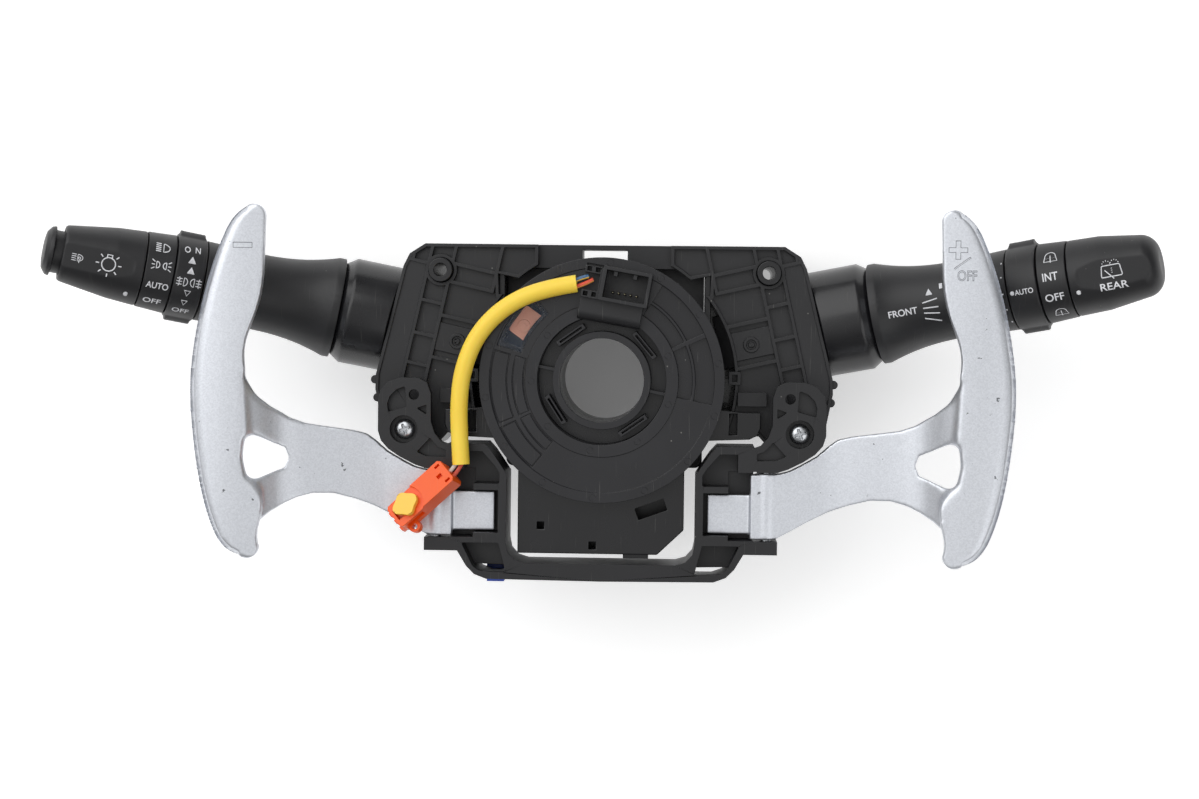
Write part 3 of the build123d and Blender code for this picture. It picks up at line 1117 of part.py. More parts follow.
def paddle_parts():
    """Hinge pins, return springs and the small switches under the tabs."""
    pin = Pos(HINGE_X, 0, HINGE_Z) * rod_y(HINGE_PIN_R, -66.2, -29.4)
    add_pair("hinge_pin", pin)
    turns = 6
    low = SPRING_ROOM_Y[0] + RUN_GAP - 0.1
    step = (SPRING_ROOM_Y[1] - RUN_GAP + 0.1 - low) / turns
    points = [(low, HINGE_PIN_R + PIN_FIT), (low, 2.9)]
    for turn in range(turns):
        points.append((low + step * (turn + 0.5), 3.5))
        points.append((low + step * (turn + 1), 2.9))
    points.append((low + step * turns, HINGE_PIN_R + PIN_FIT))
    coil = Pos(HINGE_X, 0, HINGE_Z) * Rot(0, 0, 90) * lathe(points)
    add_pair("return_spring", coil)
    switch = block((43.3, 56.9), (-57.9, -46.3), (BRACKET_BACK_Z + 0.5, SWITCH_FRONT_Z))
    switch -= disc(PLUNGER_R + PIN_FIT, SWITCH_FRONT_Z - 4.5, SWITCH_FRONT_Z + 1, (PLUNGER_X, PLUNGER_Y))
    add_pair("paddle_switch", switch)
    top = TAB_FRONT_Z - TAB_THICK - SEAT
    plunger = disc(PLUNGER_R, SWITCH_FRONT_Z - 3, top - 0.6, (PLUNGER_X, PLUNGER_Y))
    plunger += disc(PLUNGER_R - 0.5, top - 0.7, top, (PLUNGER_X, PLUNGER_Y))
    add_pair("switch_plunger", plunger)
    plug = block((-46.5, -39.5), (-82.4, -74.8), (BRACKET_BACK_Z - 9, BRACKET_BACK_Z))
    nodes["paddle_plug"] = plug


def build():
    """Builds every piece, then writes one file for each."""
    column_frame()
    switch_box()
    harness_socket()
    contact_board()
    switch_cover()
    sensor_housing()
    case_terminals()
    clock_spring_case()
    flat_cables()
    roller_carrier()
    rotor()
    cancel_cam()
    sensor_gears()
    connector_tower()
    airbag_lead()
    stalks()
    paddle_bracket()
    paddle()
    paddle_parts()
    os.makedirs("parts", exist_ok=True)
    for name, shape in nodes.items():
        export_step(shape, f"parts/{name}.step")


build()
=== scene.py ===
import json
import math

import bmesh
import bpy
from mathutils import Matrix, Vector
from mathutils.bvhtree import BVHTree


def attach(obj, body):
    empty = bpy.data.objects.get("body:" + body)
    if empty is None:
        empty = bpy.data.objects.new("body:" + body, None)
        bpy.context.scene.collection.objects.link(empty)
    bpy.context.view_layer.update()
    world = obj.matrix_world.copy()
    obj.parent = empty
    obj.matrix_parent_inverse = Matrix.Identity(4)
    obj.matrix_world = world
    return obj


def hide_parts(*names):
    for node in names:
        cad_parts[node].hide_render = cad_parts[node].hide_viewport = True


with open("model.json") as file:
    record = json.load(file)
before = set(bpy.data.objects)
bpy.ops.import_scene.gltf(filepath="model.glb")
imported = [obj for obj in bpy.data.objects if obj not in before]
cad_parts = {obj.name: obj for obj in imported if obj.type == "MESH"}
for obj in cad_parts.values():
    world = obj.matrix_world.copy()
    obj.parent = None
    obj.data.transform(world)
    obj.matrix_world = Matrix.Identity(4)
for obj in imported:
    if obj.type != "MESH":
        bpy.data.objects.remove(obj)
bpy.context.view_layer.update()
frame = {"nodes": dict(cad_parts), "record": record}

MM = 0.001


# Camera
# A long lens looks at the front of the switch from a little right of and above
# the steering shaft's axis, and is rolled by less than a degree.
LENS_MM = 66.05
SENSOR_MM = 36.0
CAMERA_DISTANCE = 0.858
LOOK_LEFT = math.radians(2.3)
LOOK_DOWN = math.radians(2.2)
ROLL = math.radians(0.75)
aim = Vector((-0.0007, -0.0074, 0.072))
looking = Vector((-math.tan(LOOK_LEFT), -math.tan(LOOK_DOWN), -1.0)).normalized()
across = Vector((math.cos(ROLL), math.sin(ROLL), 0.0))
across = (across - looking * across.dot(looking)).normalized()
upward = across.cross(looking)
camera = bpy.data.objects.new("camera", bpy.data.cameras.new("camera"))
camera.data.lens = LENS_MM
camera.data.sensor_width = SENSOR_MM
turned = Matrix((across, upward, -looking)).transposed().to_4x4()
camera.matrix_world = Matrix.Translation(aim - looking * CAMERA_DISTANCE) @ turned
bpy.context.scene.collection.objects.link(camera)
bpy.context.scene.camera = camera
bpy.context.scene.view_settings.view_transform = "Standard"


# Airbag lead
# A soft vinyl sleeve, cut off square at both ends, that slides over the two
# airbag wires. It leaves the socket tower and curls round to the orange plug.
SLEEVE_DIAMETER = 0.0068
SLEEVE_ROUTE = [
    Vector((-0.0098, 0.0376, 0.0772)),
    Vector((-0.0235, 0.0354, 0.0770)),
    Vector((-0.0378, 0.0286, 0.0770)),
    Vector((-0.0486, 0.0174, 0.0770)),
    Vector((-0.0542, 0.0030, 0.0766)),
    Vector((-0.0554, -0.0106, 0.0762)),
    Vector((-0.0549, -0.0224, 0.0762)),
    Vector((-0.0542, -0.0332, 0.0764)),
]


def srgb(code):
    """The linear colour of an sRGB hex value."""
    parts = [int(code[i:i + 2], 16) / 255 for i in (1, 3, 5)]
    return (*(p / 12.92 if p <= 0.04045 else ((p + 0.055) / 1.055) ** 2.4 for p in parts), 1.0)


def add(tree, kind, settings=(), inputs=()):
    """Adds a node, with its settings by name, and its inputs joined to an output or set to a value."""
    node = tree.nodes.new(kind)
    for name, value in dict(settings).items():
        setattr(node, name, value)
    for name, value in dict(inputs).items():
        if isinstance(value, bpy.types.NodeSocket):
            tree.links.new(value, node.inputs[name])
        else:
            node.inputs[name].default_value = value
    return node


def blank(name):
    """An empty material, its tree, and the object coordinates that its patterns read."""
    material = bpy.data.materials.new(name)
    material.use_nodes = True
    material.node_tree.nodes.clear()
    place = add(material.node_tree, "ShaderNodeTexCoord").outputs["Object"]
    return material, material.node_tree, place


def soft_vinyl(name, light, dark, stripe=None, stripe_from=(0.0, 0.0, 1.0)):
    """Extruded PVC: even colour with slow clouds and a soft gloss. A wire's second colour
    is a stripe along one side of it."""
    material, tree, place = blank(name)
    cloud = add(tree, "ShaderNodeTexNoise", (), {"Vector": place, "Scale": 1000 / 14, "Detail": 3.0})
    tint = add(tree, "ShaderNodeMix", {"data_type": "RGBA"}, {
        0: cloud.outputs[0], 6: srgb(dark), 7: srgb(light)})
    colour = tint.outputs[2]
    if stripe:
        side = add(tree, "ShaderNodeVectorMath", {"operation": "DOT_PRODUCT"}, {
            0: add(tree, "ShaderNodeTexCoord").outputs["Normal"], 1: stripe_from})
        band = add(tree, "ShaderNodeMapRange", (), {
            "Value": side.outputs["Value"], "From Min": 0.05, "From Max": 0.2})
        colour = add(tree, "ShaderNodeMix", {"data_type": "RGBA"}, {
            0: band.outputs[0], 6: colour, 7: srgb(stripe)}).outputs[2]
    grain = add(tree, "ShaderNodeTexNoise", (), {"Vector": place, "Scale": 1000 / 1.6, "Detail": 2.0})
    bump = add(tree, "ShaderNodeBump", (), {
        "Strength": 0.2, "Distance": 0.02 * MM, "Height": grain.outputs[0]})
    shine = add(tree, "ShaderNodeMapRange", (), {"Value": cloud.outputs[0], "To Min": 0.40, "To Max": 0.55})
    skin = add(tree, "ShaderNodeBsdfPrincipled", (), {
        "Base Color": colour, "Roughness": shine.outputs[0], "IOR": 1.53,
        "Subsurface Weight": 0.12, "Subsurface Scale": 0.002, "Normal": bump.outputs[0]})
    add(tree, "ShaderNodeOutputMaterial", (), {"Surface": skin.outputs[0]})
    return material


body_of = {node: body for body, group in frame["record"]["behaviour"]["bodies"].items() for node in group}


def stand_for(piece, *nodes):
    """The piece takes the place and the body of these CAD nodes."""
    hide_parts(*nodes)
    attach(piece, body_of[nodes[0]])


def put(name, data, material):
    """Places a finished mesh or curve in the scene under its name."""
    piece = bpy.data.objects.new(name, data)
    piece.data.materials.clear()
    piece.data.materials.append(material)
    bpy.context.scene.collection.objects.link(piece)
    return piece


def nurbs(name, points, radius):
    """A round cord along control points."""
    line = bpy.data.curves.new(name, "CURVE")
    line.dimensions = "3D"
    line.resolution_u = 24
    line.bevel_depth = radius
    line.bevel_resolution = 8
    line.use_fill_caps = True
    spline = line.splines.new("NURBS")
    spline.points.add(len(points) - 1)
    for point, place in zip(spline.points, points):
        point.co = (*place, 1.0)
    spline.order_u = 3
    spline.use_endpoint_u = True
    return line


yellow_pvc = soft_vinyl("soft_pvc_yellow", "#ffdf50", "#fad03a")
sleeve = put("airbag_sleeve", nurbs("airbag_sleeve", SLEEVE_ROUTE, SLEEVE_DIAMETER / 2), yellow_pvc)
stand_for(sleeve, "harness_sleeve")

# Two wires show at each end of the sleeve: yellow with a blue and with a red
# stripe at the tower, white and red where they enter the plug.
WIRE_RADIUS_MM = 0.8
STRIPE_SIDE = (-0.4, 0.75, 0.5)
WIRES = {
    "wire_blue": (
        "#e9cf5a", "#dcbf48", "#41658c", (-11.0, 38.5, 77.8), (-8.0, 39.9, 78.2), (-5.2, 40.5, 77.8)),
    "wire_red": (
        "#f0a35a", "#e99548", "#dd4f33", (-11.0, 36.0, 77.8), (-7.1, 37.2, 78.3), (-3.4, 39.2, 77.8)),
    "wire_white": (
        "#d9d6cf", "#c9c6be", None, (-55.6, -32.0, 76.4), (-57.2, -34.9, 76.9), (-59.4, -37.0, 76.8)),
    "wire_plug_red": (
        "#cf5a44", "#bd4a36", None, (-53.4, -32.0, 77.2), (-54.9, -35.4, 77.7), (-57.4, -38.2, 77.6)),
}
wire_pieces = []
for wire, (light, dark, stripe, *way) in WIRES.items():
    pvc = soft_vinyl("pvc_" + wire, light, dark, stripe, STRIPE_SIDE)
    line = nurbs(wire, [Vector(point) * MM for point in way], WIRE_RADIUS_MM * MM)
    wire_pieces.append(put(wire, line, pvc))
    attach(wire_pieces[-1], "rotor")
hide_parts("harness_wires")


# Orange plug and its lock
# The airbag plug is moulded in orange polyester, and its yellow lock slides in
# a recess on top. Both are half gloss, with crisp edges rounded by the mould.
def moulded_plastic(name, light, dark, rough, grain_mm, grain_depth_mm, marks=0.0, coat=0.0):
    """Moulded plastic: colour and gloss drift slowly, the mould's grain shows as a fine bump,
    and handling leaves a few pale specks and scratches."""
    material, tree, place = blank(name)
    cloud = add(tree, "ShaderNodeTexNoise", (), {"Vector": place, "Scale": 1000 / 22, "Detail": 4.0})
    tint = add(tree, "ShaderNodeMix", {"data_type": "RGBA"}, {
        0: cloud.outputs[0], 6: srgb(dark), 7: srgb(light)})
    stretch = add(tree, "ShaderNodeMapping", (), {
        "Vector": place, "Rotation": (0.4, 0.7, 0.6), "Scale": (1000 / 0.35, 1000 / 16, 1000 / 16)})
    streak = add(tree, "ShaderNodeTexNoise", (), {"Vector": stretch.outputs[0], "Scale": 1.0, "Detail": 1.0})
    scratch = add(tree, "ShaderNodeMapRange", (), {
        "Value": streak.outputs[0], "From Min": 0.72, "From Max": 0.78, "To Max": 0.4})
    cell = add(tree, "ShaderNodeTexVoronoi", (), {"Vector": place, "Scale": 1000 / 5.5})
    speck = add(tree, "ShaderNodeMapRange", (), {
        "Value": cell.outputs["Distance"], "From Min": 0.035, "From Max": 0.06, "To Min": 1.0, "To Max": 0.0})
    chance = add(tree, "ShaderNodeSeparateColor", (), {"Color": cell.outputs["Color"]})
    rare = add(tree, "ShaderNodeMath", {"operation": "GREATER_THAN"}, {0: chance.outputs[0], 1: 0.6})
    dust = add(tree, "ShaderNodeMath", {"operation": "MULTIPLY"}, {0: speck.outputs[0], 1: rare.outputs[0]})
    both = add(tree, "ShaderNodeMath", {"operation": "MAXIMUM"}, {0: scratch.outputs[0], 1: dust.outputs[0]})
    worn = add(tree, "ShaderNodeMath", {"operation": "MULTIPLY"}, {0: both.outputs[0], 1: marks})
    colour = add(tree, "ShaderNodeMix", {"data_type": "RGBA"}, {
        0: worn.outputs[0], 6: tint.outputs[2], 7: srgb("#b9b7b0")})
    shine = add(tree, "ShaderNodeMapRange", (), {
        "Value": cloud.outputs[0], "From Min": 0.3, "From Max": 0.7,
        "To Min": rough - 0.05, "To Max": rough + 0.07})
    grain = add(tree, "ShaderNodeTexNoise", (), {
        "Vector": place, "Scale": 1000 / grain_mm, "Detail": 2.0, "Roughness": 0.6})
    bump = add(tree, "ShaderNodeBump", (), {
        "Strength": 0.6, "Distance": grain_depth_mm * MM, "Height": grain.outputs[0]})
    skin = add(tree, "ShaderNodeBsdfPrincipled", (), {
        "Base Color": colour.outputs[2], "Roughness": shine.outputs[0], "IOR": 1.5, "Coat Weight": coat,
        "Coat Roughness": 0.12, "Normal": bump.outputs[0]})
    add(tree, "ShaderNodeOutputMaterial", (), {"Surface": skin.outputs[0]})
    return material


def merged(node):
    """A copy of a CAD node's mesh with its seams merged."""
    work = bmesh.new()
    work.from_mesh(frame["nodes"][node].data)
    bmesh.ops.remove_doubles(work, verts=work.verts, dist=0.003 * MM)
    return work


def rounded(node, name, material, edge_mm, crease_deg=34.0):
    """A copy of a CAD node with its hard edges rounded, in place of the node."""
    work = merged(node)
    for face in work.faces:
        face.smooth = True
    for edge in work.edges:
        edge.smooth = edge.is_manifold and edge.calc_face_angle(0.0) < math.radians(crease_deg)
    mesh = bpy.data.meshes.new(name)
    work.to_mesh(mesh)
    work.free()
    piece = put(name, mesh, material)
    if edge_mm:
        bevel = piece.modifiers.new("edges", "BEVEL")
        bevel.limit_method = "ANGLE"
        bevel.angle_limit = math.radians(crease_deg)
        bevel.width = edge_mm * MM
        bevel.segments = 2
        bevel.use_clamp_overlap = False
        bevel.miter_outer = "MITER_SHARP"
        weigh = piece.modifiers.new("flats", "WEIGHTED_NORMAL")
        weigh.keep_sharp = True
    stand_for(piece, node)
    return piece


def softened(node, name, material, voxel_mm, passes):
    """A copy of a CAD node with all its edges rolled over, as on a casting or a soft-edged moulding:
    the skin is rebuilt in small even faces and relaxed a few times."""
    work = merged(node)
    mesh = bpy.data.meshes.new(name)
    work.to_mesh(mesh)
    work.free()
    piece = put(name, mesh, material)
    skin = piece.modifiers.new("skin", "REMESH")
    skin.mode = "VOXEL"
    skin.voxel_size = voxel_mm * MM
    skin.use_smooth_shade = True
    relax = piece.modifiers.new("relax", "SMOOTH")
    relax.factor = 0.5
    relax.iterations = passes
    fine = bpy.data.meshes.new_from_object(piece.evaluated_get(bpy.context.evaluated_depsgraph_get()))
    piece.modifiers.clear()
    piece.data = fine
    fine.name = name
    stand_for(piece, node)
    return piece


orange_pbt = moulded_plastic("pbt_orange", "#fb6414", "#ee520a", 0.36, 1.2, 0.01, 0.12)
yellow_pbt = moulded_plastic("pbt_yellow", "#ffd259", "#fbc63c", 0.34, 1.2, 0.01, 0.10)
plug = rounded("squib_plug", "airbag_plug", orange_pbt, 0.12)
lock = rounded("squib_lock", "airbag_plug_lock", yellow_pbt, 0.12)


# Column frame, switch boxes and sockets
# The frame clamps on the steering column and the two boxes are screwed to it.
# All are moulded in glass-filled nylon: satin black, slightly clouded, dusty.
black_nylon = moulded_plastic("nylon_glass_filled_black", "#1e1e21", "#151517", 0.44, 0.8, 0.03, 0.34)
box_pbt = moulded_plastic("pbt_half_gloss_black", "#1a1a1d", "#121214", 0.26, 1.4, 0.008, 0.22)
rounded("column_frame", "column_frame_moulding", black_nylon, 0.15)
for side in ("left", "right"):
    rounded(side + "_switch_box", side + "_box_moulding", box_pbt, 0.3)
    rounded(side + "_harness_socket", side + "_socket_shroud", black_nylon, 0.15)


# Contact boards
# One lacquered glass-epoxy board lies on the floor of each box. Its row of
# tinned pins stands in the socket.
def board_lacquer():
    """Black solder mask: glossy, with slightly paler tracks under it."""
    material, tree, place = blank("fr4_black_lacquer")
    track = add(tree, "ShaderNodeTexBrick", {"offset": 0.37}, {
        "Vector": place, "Color1": srgb("#171b19"), "Color2": srgb("#131715"), "Mortar": srgb("#262d29"),
        "Scale": 1000 / 9, "Mortar Size": 0.03})
    skin = add(tree, "ShaderNodeBsdfPrincipled", (), {
        "Base Color": track.outputs[0], "Roughness": 0.22, "IOR": 1.55, "Coat Weight": 0.3})
    add(tree, "ShaderNodeOutputMaterial", (), {"Surface": skin.outputs[0]})
    return material


board_black = board_lacquer()
for side in ("left", "right"):
    rounded(side + "_contact_board", side + "_board", board_black, 0.0)


# Front covers
# Each box is closed by a ribbed cover of the same satin nylon, seated on its
# rim. The boss at its top corner takes a bolt into the column.
for side in ("left", "right"):
    rounded(side + "_switch_cover", side + "_cover_moulding", black_nylon, 0.15)


# Steering angle sensor
# A flat housing behind the clock spring holds two small acetal gears, which
# mesh with the drive gear on the hub's cancelling sleeve.
natural_pom = moulded_plastic("acetal_natural", "#ece8dc", "#ddd8ca", 0.38, 1.2, 0.01, 0.05)
inner_pom = moulded_plastic("acetal_black", "#202023", "#17171a", 0.36, 1.2, 0.01, 0.05)
rounded("sensor_housing", "sensor_housing_moulding", box_pbt, 0.3)
rounded("sensor_gear_a", "angle_gear_16", natural_pom, 0.0)
rounded("sensor_gear_b", "angle_gear_14", natural_pom, 0.0)
rounded("cancel_cam", "cancelling_sleeve", natural_pom, 0.0)


# Clock spring
# A cup of half-gloss polyester with a box below it. Inside, a copper ribbon is
# wound on the case and on the hub, with rollers on a floating ring between.
def copper_ribbon():
    """Polyester ribbon with rolled copper tracks, seen through the film."""
    material, tree, place = blank("polyester_copper_ribbon")
    parts = add(tree, "ShaderNodeSeparateXYZ", (), {"Vector": place})
    pitch = add(tree, "ShaderNodeMath", {"operation": "MULTIPLY"}, {0: parts.outputs[2], 1: 1000 / 1.6})
    cycle = add(tree, "ShaderNodeMath", {"operation": "FRACT"}, {0: pitch.outputs[0]})
    track = add(tree, "ShaderNodeMath", {"operation": "GREATER_THAN"}, {0: cycle.outputs[0], 1: 0.35})
    tint = add(tree, "ShaderNodeMix", {"data_type": "RGBA"}, {
        0: track.outputs[0], 6: srgb("#e9b79a"), 7: srgb("#d98a5f")})
    skin = add(tree, "ShaderNodeBsdfPrincipled", (), {
        "Base Color": tint.outputs[2], "Roughness": 0.3, "IOR": 1.6, "Metallic": 0.35})
    add(tree, "ShaderNodeOutputMaterial", (), {"Surface": skin.outputs[0]})
    return material


def tinned_brass():
    """Stamped brass with a bright tin plate, a little duller along its length."""
    material, tree, place = blank("brass_tin_plated")
    cloud = add(tree, "ShaderNodeTexNoise", (), {"Vector": place, "Scale": 1000 / 2.0, "Detail": 2.0})
    tint = add(tree, "ShaderNodeMix", {"data_type": "RGBA"}, {
        0: cloud.outputs[0], 6: srgb("#c9b98a"), 7: srgb("#e6dfc8")})
    skin = add(tree, "ShaderNodeBsdfPrincipled", (), {
        "Base Color": tint.outputs[2], "Roughness": 0.28, "Metallic": 1.0})
    add(tree, "ShaderNodeOutputMaterial", (), {"Surface": skin.outputs[0]})
    return material


def sized_tree(name, sizes):
    """An empty geometry tree with a named input for each size, and its inputs."""
    tree = bpy.data.node_groups.new(name, "GeometryNodeTree")
    tree.interface.new_socket("Geometry", in_out="INPUT", socket_type="NodeSocketGeometry")
    tree.interface.new_socket("Geometry", in_out="OUTPUT", socket_type="NodeSocketGeometry")
    for size in sizes:
        kind = "NodeSocketInt" if size == "Count" else "NodeSocketFloat"
        tree.interface.new_socket(size, in_out="INPUT", socket_type=kind)
    return tree, add(tree, "NodeGroupInput").outputs


def end_tree(tree, geometry, material):
    """Closes a tree: instances made real, and the material set."""
    smooth = add(tree, "GeometryNodeSetShadeSmooth", (), {"Geometry": geometry})
    real = add(tree, "GeometryNodeRealizeInstances", (), {"Geometry": smooth.outputs[0]})
    coated = add(tree, "GeometryNodeSetMaterial", (), {"Geometry": real.outputs[0], "Material": material})
    add(tree, "NodeGroupOutput", (), {0: coated.outputs[0]})


def grown(tree, name, material, sizes, place):
    """What a tree makes at these sizes, as a plain mesh carried to its place."""
    piece = put(name, bpy.data.meshes.new(name), material)
    maker = piece.modifiers.new("maker", "NODES")
    maker.node_group = tree
    for item in tree.interface.items_tree:
        if item.name in sizes:
            maker[item.identifier] = sizes[item.name]
    mesh = bpy.data.meshes.new_from_object(piece.evaluated_get(bpy.context.evaluated_depsgraph_get()))
    piece.modifiers.clear()
    mesh.transform(place)
    mesh.name = name
    piece.data = mesh
    return piece


def pin_row_tree(material):
    """A row of square pins, each with a pointed tip."""
    tree, size = sized_tree("pin_row", ("Count", "Pitch", "Width", "Height"))
    step = add(tree, "ShaderNodeCombineXYZ", (), {"X": size["Pitch"]})
    row = add(tree, "GeometryNodeMeshLine", (), {"Count": size["Count"], "Offset": step.outputs[0]})
    body_size = add(tree, "ShaderNodeCombineXYZ", (), {
        "X": size["Width"], "Y": size["Width"], "Z": size["Height"]})
    body = add(tree, "GeometryNodeMeshCube", (), {"Size": body_size.outputs[0]})
    half = add(tree, "ShaderNodeMath", {"operation": "MULTIPLY"}, {0: size["Height"], 1: 0.5})
    corner = add(tree, "ShaderNodeMath", {"operation": "MULTIPLY"}, {0: size["Width"], 1: 0.7071})
    tip = add(tree, "GeometryNodeMeshCone", (), {
        "Vertices": 4, "Radius Bottom": corner.outputs[0], "Radius Top": 0.28 * MM, "Depth": 0.9 * MM})
    above = add(tree, "ShaderNodeCombineXYZ", (), {"Z": half.outputs[0]})
    set_tip = add(tree, "GeometryNodeTransform", (), {
        "Geometry": tip.outputs[0], "Translation": above.outputs[0], "Rotation": (0, 0, math.radians(45))})
    pin = add(tree, "GeometryNodeJoinGeometry")
    tree.links.new(body.outputs[0], pin.inputs[0])
    tree.links.new(set_tip.outputs[0], pin.inputs[0])
    pins = add(tree, "GeometryNodeInstanceOnPoints", (), {
        "Points": row.outputs[0], "Instance": pin.outputs[0]})
    end_tree(tree, pins.outputs[0], material)
    return tree


gloss_pbt = moulded_plastic("pbt_gloss_black", "#19191c", "#111113", 0.24, 1.6, 0.006, 0.30)
ribbon = copper_ribbon()
tin = tinned_brass()
rounded("clock_spring_case", "clock_spring_cup", gloss_pbt, 0.35)
# Seven pins point to the rear in the socket of the lower box.
pin_rows = pin_row_tree(tin)
FIRST_CASE_PIN = Vector((-9.0, -58.0, 36.9)) * MM
case_pins = grown(pin_rows, "case_pins", tin, {
    "Count": 7, "Pitch": 3.0 * MM, "Width": 0.8 * MM, "Height": 6.1 * MM},
    Matrix.Translation(FIRST_CASE_PIN) @ Matrix.Rotation(math.pi, 4, "X"))
stand_for(case_pins, "case_terminals")
rounded("flat_cable_outer", "ribbon_on_case", ribbon, 0.0)
rounded("flat_cable_inner", "ribbon_on_hub", ribbon, 0.0)
rounded("roller_carrier", "floating_ring", inner_pom, 0.0)
rounded("carrier_rollers", "rollers", natural_pom, 0.0)
rounded("indicator_roller", "marked_roller", soft_vinyl("copper_orange_roller", "#f6a184", "#ec8a68"), 0.2)


# Clock spring rotor
# The turning front is one half-gloss acetal moulding: rim, flush panels and
# open pockets between two rings, with the hub that the steering shaft fills.
rotor_pom = moulded_plastic("acetal_black_half_gloss", "#202024", "#151518", 0.27, 1.6, 0.010, 0.34)
rounded("clock_spring_rotor", "rotor_moulding", rotor_pom, 0.15)


def ring_marks_tree(material):
    """Thin rings evenly spaced on a circle."""
    tree, size = sized_tree("ring_marks", ("Count", "Orbit", "Mark Radius", "Line"))
    orbit = add(tree, "GeometryNodeMeshCircle", (), {"Vertices": size["Count"], "Radius": size["Orbit"]})
    mark = add(tree, "GeometryNodeCurvePrimitiveCircle", (), {
        "Resolution": 20, "Radius": size["Mark Radius"]})
    line = add(tree, "GeometryNodeCurvePrimitiveCircle", (), {"Resolution": 5, "Radius": size["Line"]})
    ring = add(tree, "GeometryNodeCurveToMesh", (), {
        "Curve": mark.outputs[0], "Profile Curve": line.outputs[0]})
    rings = add(tree, "GeometryNodeInstanceOnPoints", (), {
        "Points": orbit.outputs[0], "Instance": ring.outputs[0]})
    end_tree(tree, rings.outputs[0], material)
    return tree


# The ejector pins of the mould leave faint rings on the rim and on the collar.
ROTOR_FRONT_MM = 72.0
MARK_LINE_MM = 0.11
ring_marks = ring_marks_tree(rotor_pom)
for band, count, orbit_mm, mark_mm, turn_deg in (("rim", 14, 46.0, 1.3, 9.0), ("collar", 9, 27.6, 1.2, 21.0)):
    marks = grown(ring_marks, band + "_ejector_marks", rotor_pom, {
        "Count": count, "Orbit": orbit_mm * MM, "Mark Radius": mark_mm * MM, "Line": MARK_LINE_MM * MM},
        Matrix.Translation((0, 0, ROTOR_FRONT_MM * MM)) @ Matrix.Rotation(math.radians(turn_deg), 4, "Z"))
    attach(marks, "rotor")


def clear_polycarbonate():
    """A clear, slightly bluish moulded window with soft scratches."""
    material, tree, place = blank("polycarbonate_clear")
    cloud = add(tree, "ShaderNodeTexNoise", (), {"Vector": place, "Scale": 1000 / 1.5, "Detail": 3.0})
    shine = add(tree, "ShaderNodeMapRange", (), {"Value": cloud.outputs[0], "To Min": 0.04, "To Max": 0.16})
    skin = add(tree, "ShaderNodeBsdfPrincipled", (), {
        "Base Color": srgb("#8f9db3"), "Roughness": shine.outputs[0], "IOR": 1.58, "Alpha": 0.07})
    add(tree, "ShaderNodeOutputMaterial", (), {"Surface": skin.outputs[0]})
    return material


rounded("indicator_window", "roller_window", clear_polycarbonate(), 0.25)

# A copper-orange plate rides on the floating ring under the window. The boss of
# its roller shows as a ring.
PLATE_Z = 65.9
PLATE_THICK = 0.5
PLATE_CORNER_R = 1.3
PLATE_AT = Vector((-30.2, 21.9, 0.0))
PLATE_TURN_DEG = 54.0
BOSS_X = -1.2
BOSS_STEPS = (
    (1.6, 58.5, PLATE_Z), (2.6, PLATE_Z + PLATE_THICK, PLATE_Z + 0.7), (1.0, PLATE_Z + 0.6, PLATE_Z + 0.8))
plate = bmesh.new()
outline = []
for corner_x, corner_y, corner_deg in ((4.7, 2.9, 0), (-4.7, 2.9, 90), (-4.7, -2.9, 180), (4.7, -2.9, 270)):
    for step in range(5):
        a = math.radians(corner_deg + 22.5 * step)
        outline.append(plate.verts.new((
            corner_x + PLATE_CORNER_R * math.cos(a), corner_y + PLATE_CORNER_R * math.sin(a), PLATE_Z)))
face = plate.faces.new(outline)
raised = bmesh.ops.extrude_face_region(plate, geom=[face])["geom"]
front = [v for v in raised if isinstance(v, bmesh.types.BMVert)]
bmesh.ops.translate(plate, vec=(0, 0, PLATE_THICK), verts=front)
bmesh.ops.recalc_face_normals(plate, faces=plate.faces)
for step_r, low, high in BOSS_STEPS:
    bmesh.ops.create_cone(
        plate, cap_ends=True, segments=32, radius1=step_r, radius2=step_r * 0.9, depth=high - low,
        matrix=Matrix.Translation((BOSS_X, 0, (high + low) / 2)))
turn_plate = Matrix.Rotation(math.radians(PLATE_TURN_DEG), 4, "Z")
for v in plate.verts:
    v.co = (turn_plate @ v.co + PLATE_AT) * MM
plate_mesh = bpy.data.meshes.new("indicator_plate")
plate.to_mesh(plate_mesh)
plate.free()
plate_piece = put("indicator_plate", plate_mesh, soft_vinyl("acetal_copper_orange", "#ffb598", "#fc9f7c"))
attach(plate_piece, "carrier")


# Socket tower
# The tower stands on the rotor and faces the steering wheel. It is moulded in
# satin black nylon, and five tinned pins stand in it.
rounded("connector_tower", "tower_moulding", black_nylon, 0.18)
TOWER_AT = Vector((9.2, 36.4, 0.0)) * MM
TOWER_TURN = math.radians(-10.0)
FIRST_TOWER_PIN = Vector((-4.7, -2.88, 73.05)) * MM
on_tower = Matrix.Translation(TOWER_AT) @ Matrix.Rotation(TOWER_TURN, 4, "Z")
tower_row = grown(pin_rows, "tower_pin_row", tin, {
    "Count": 5, "Pitch": 2.35 * MM, "Width": 0.64 * MM, "Height": 6.1 * MM},
    on_tower @ Matrix.Translation(FIRST_TOWER_PIN))
stand_for(tower_row, "tower_pins")


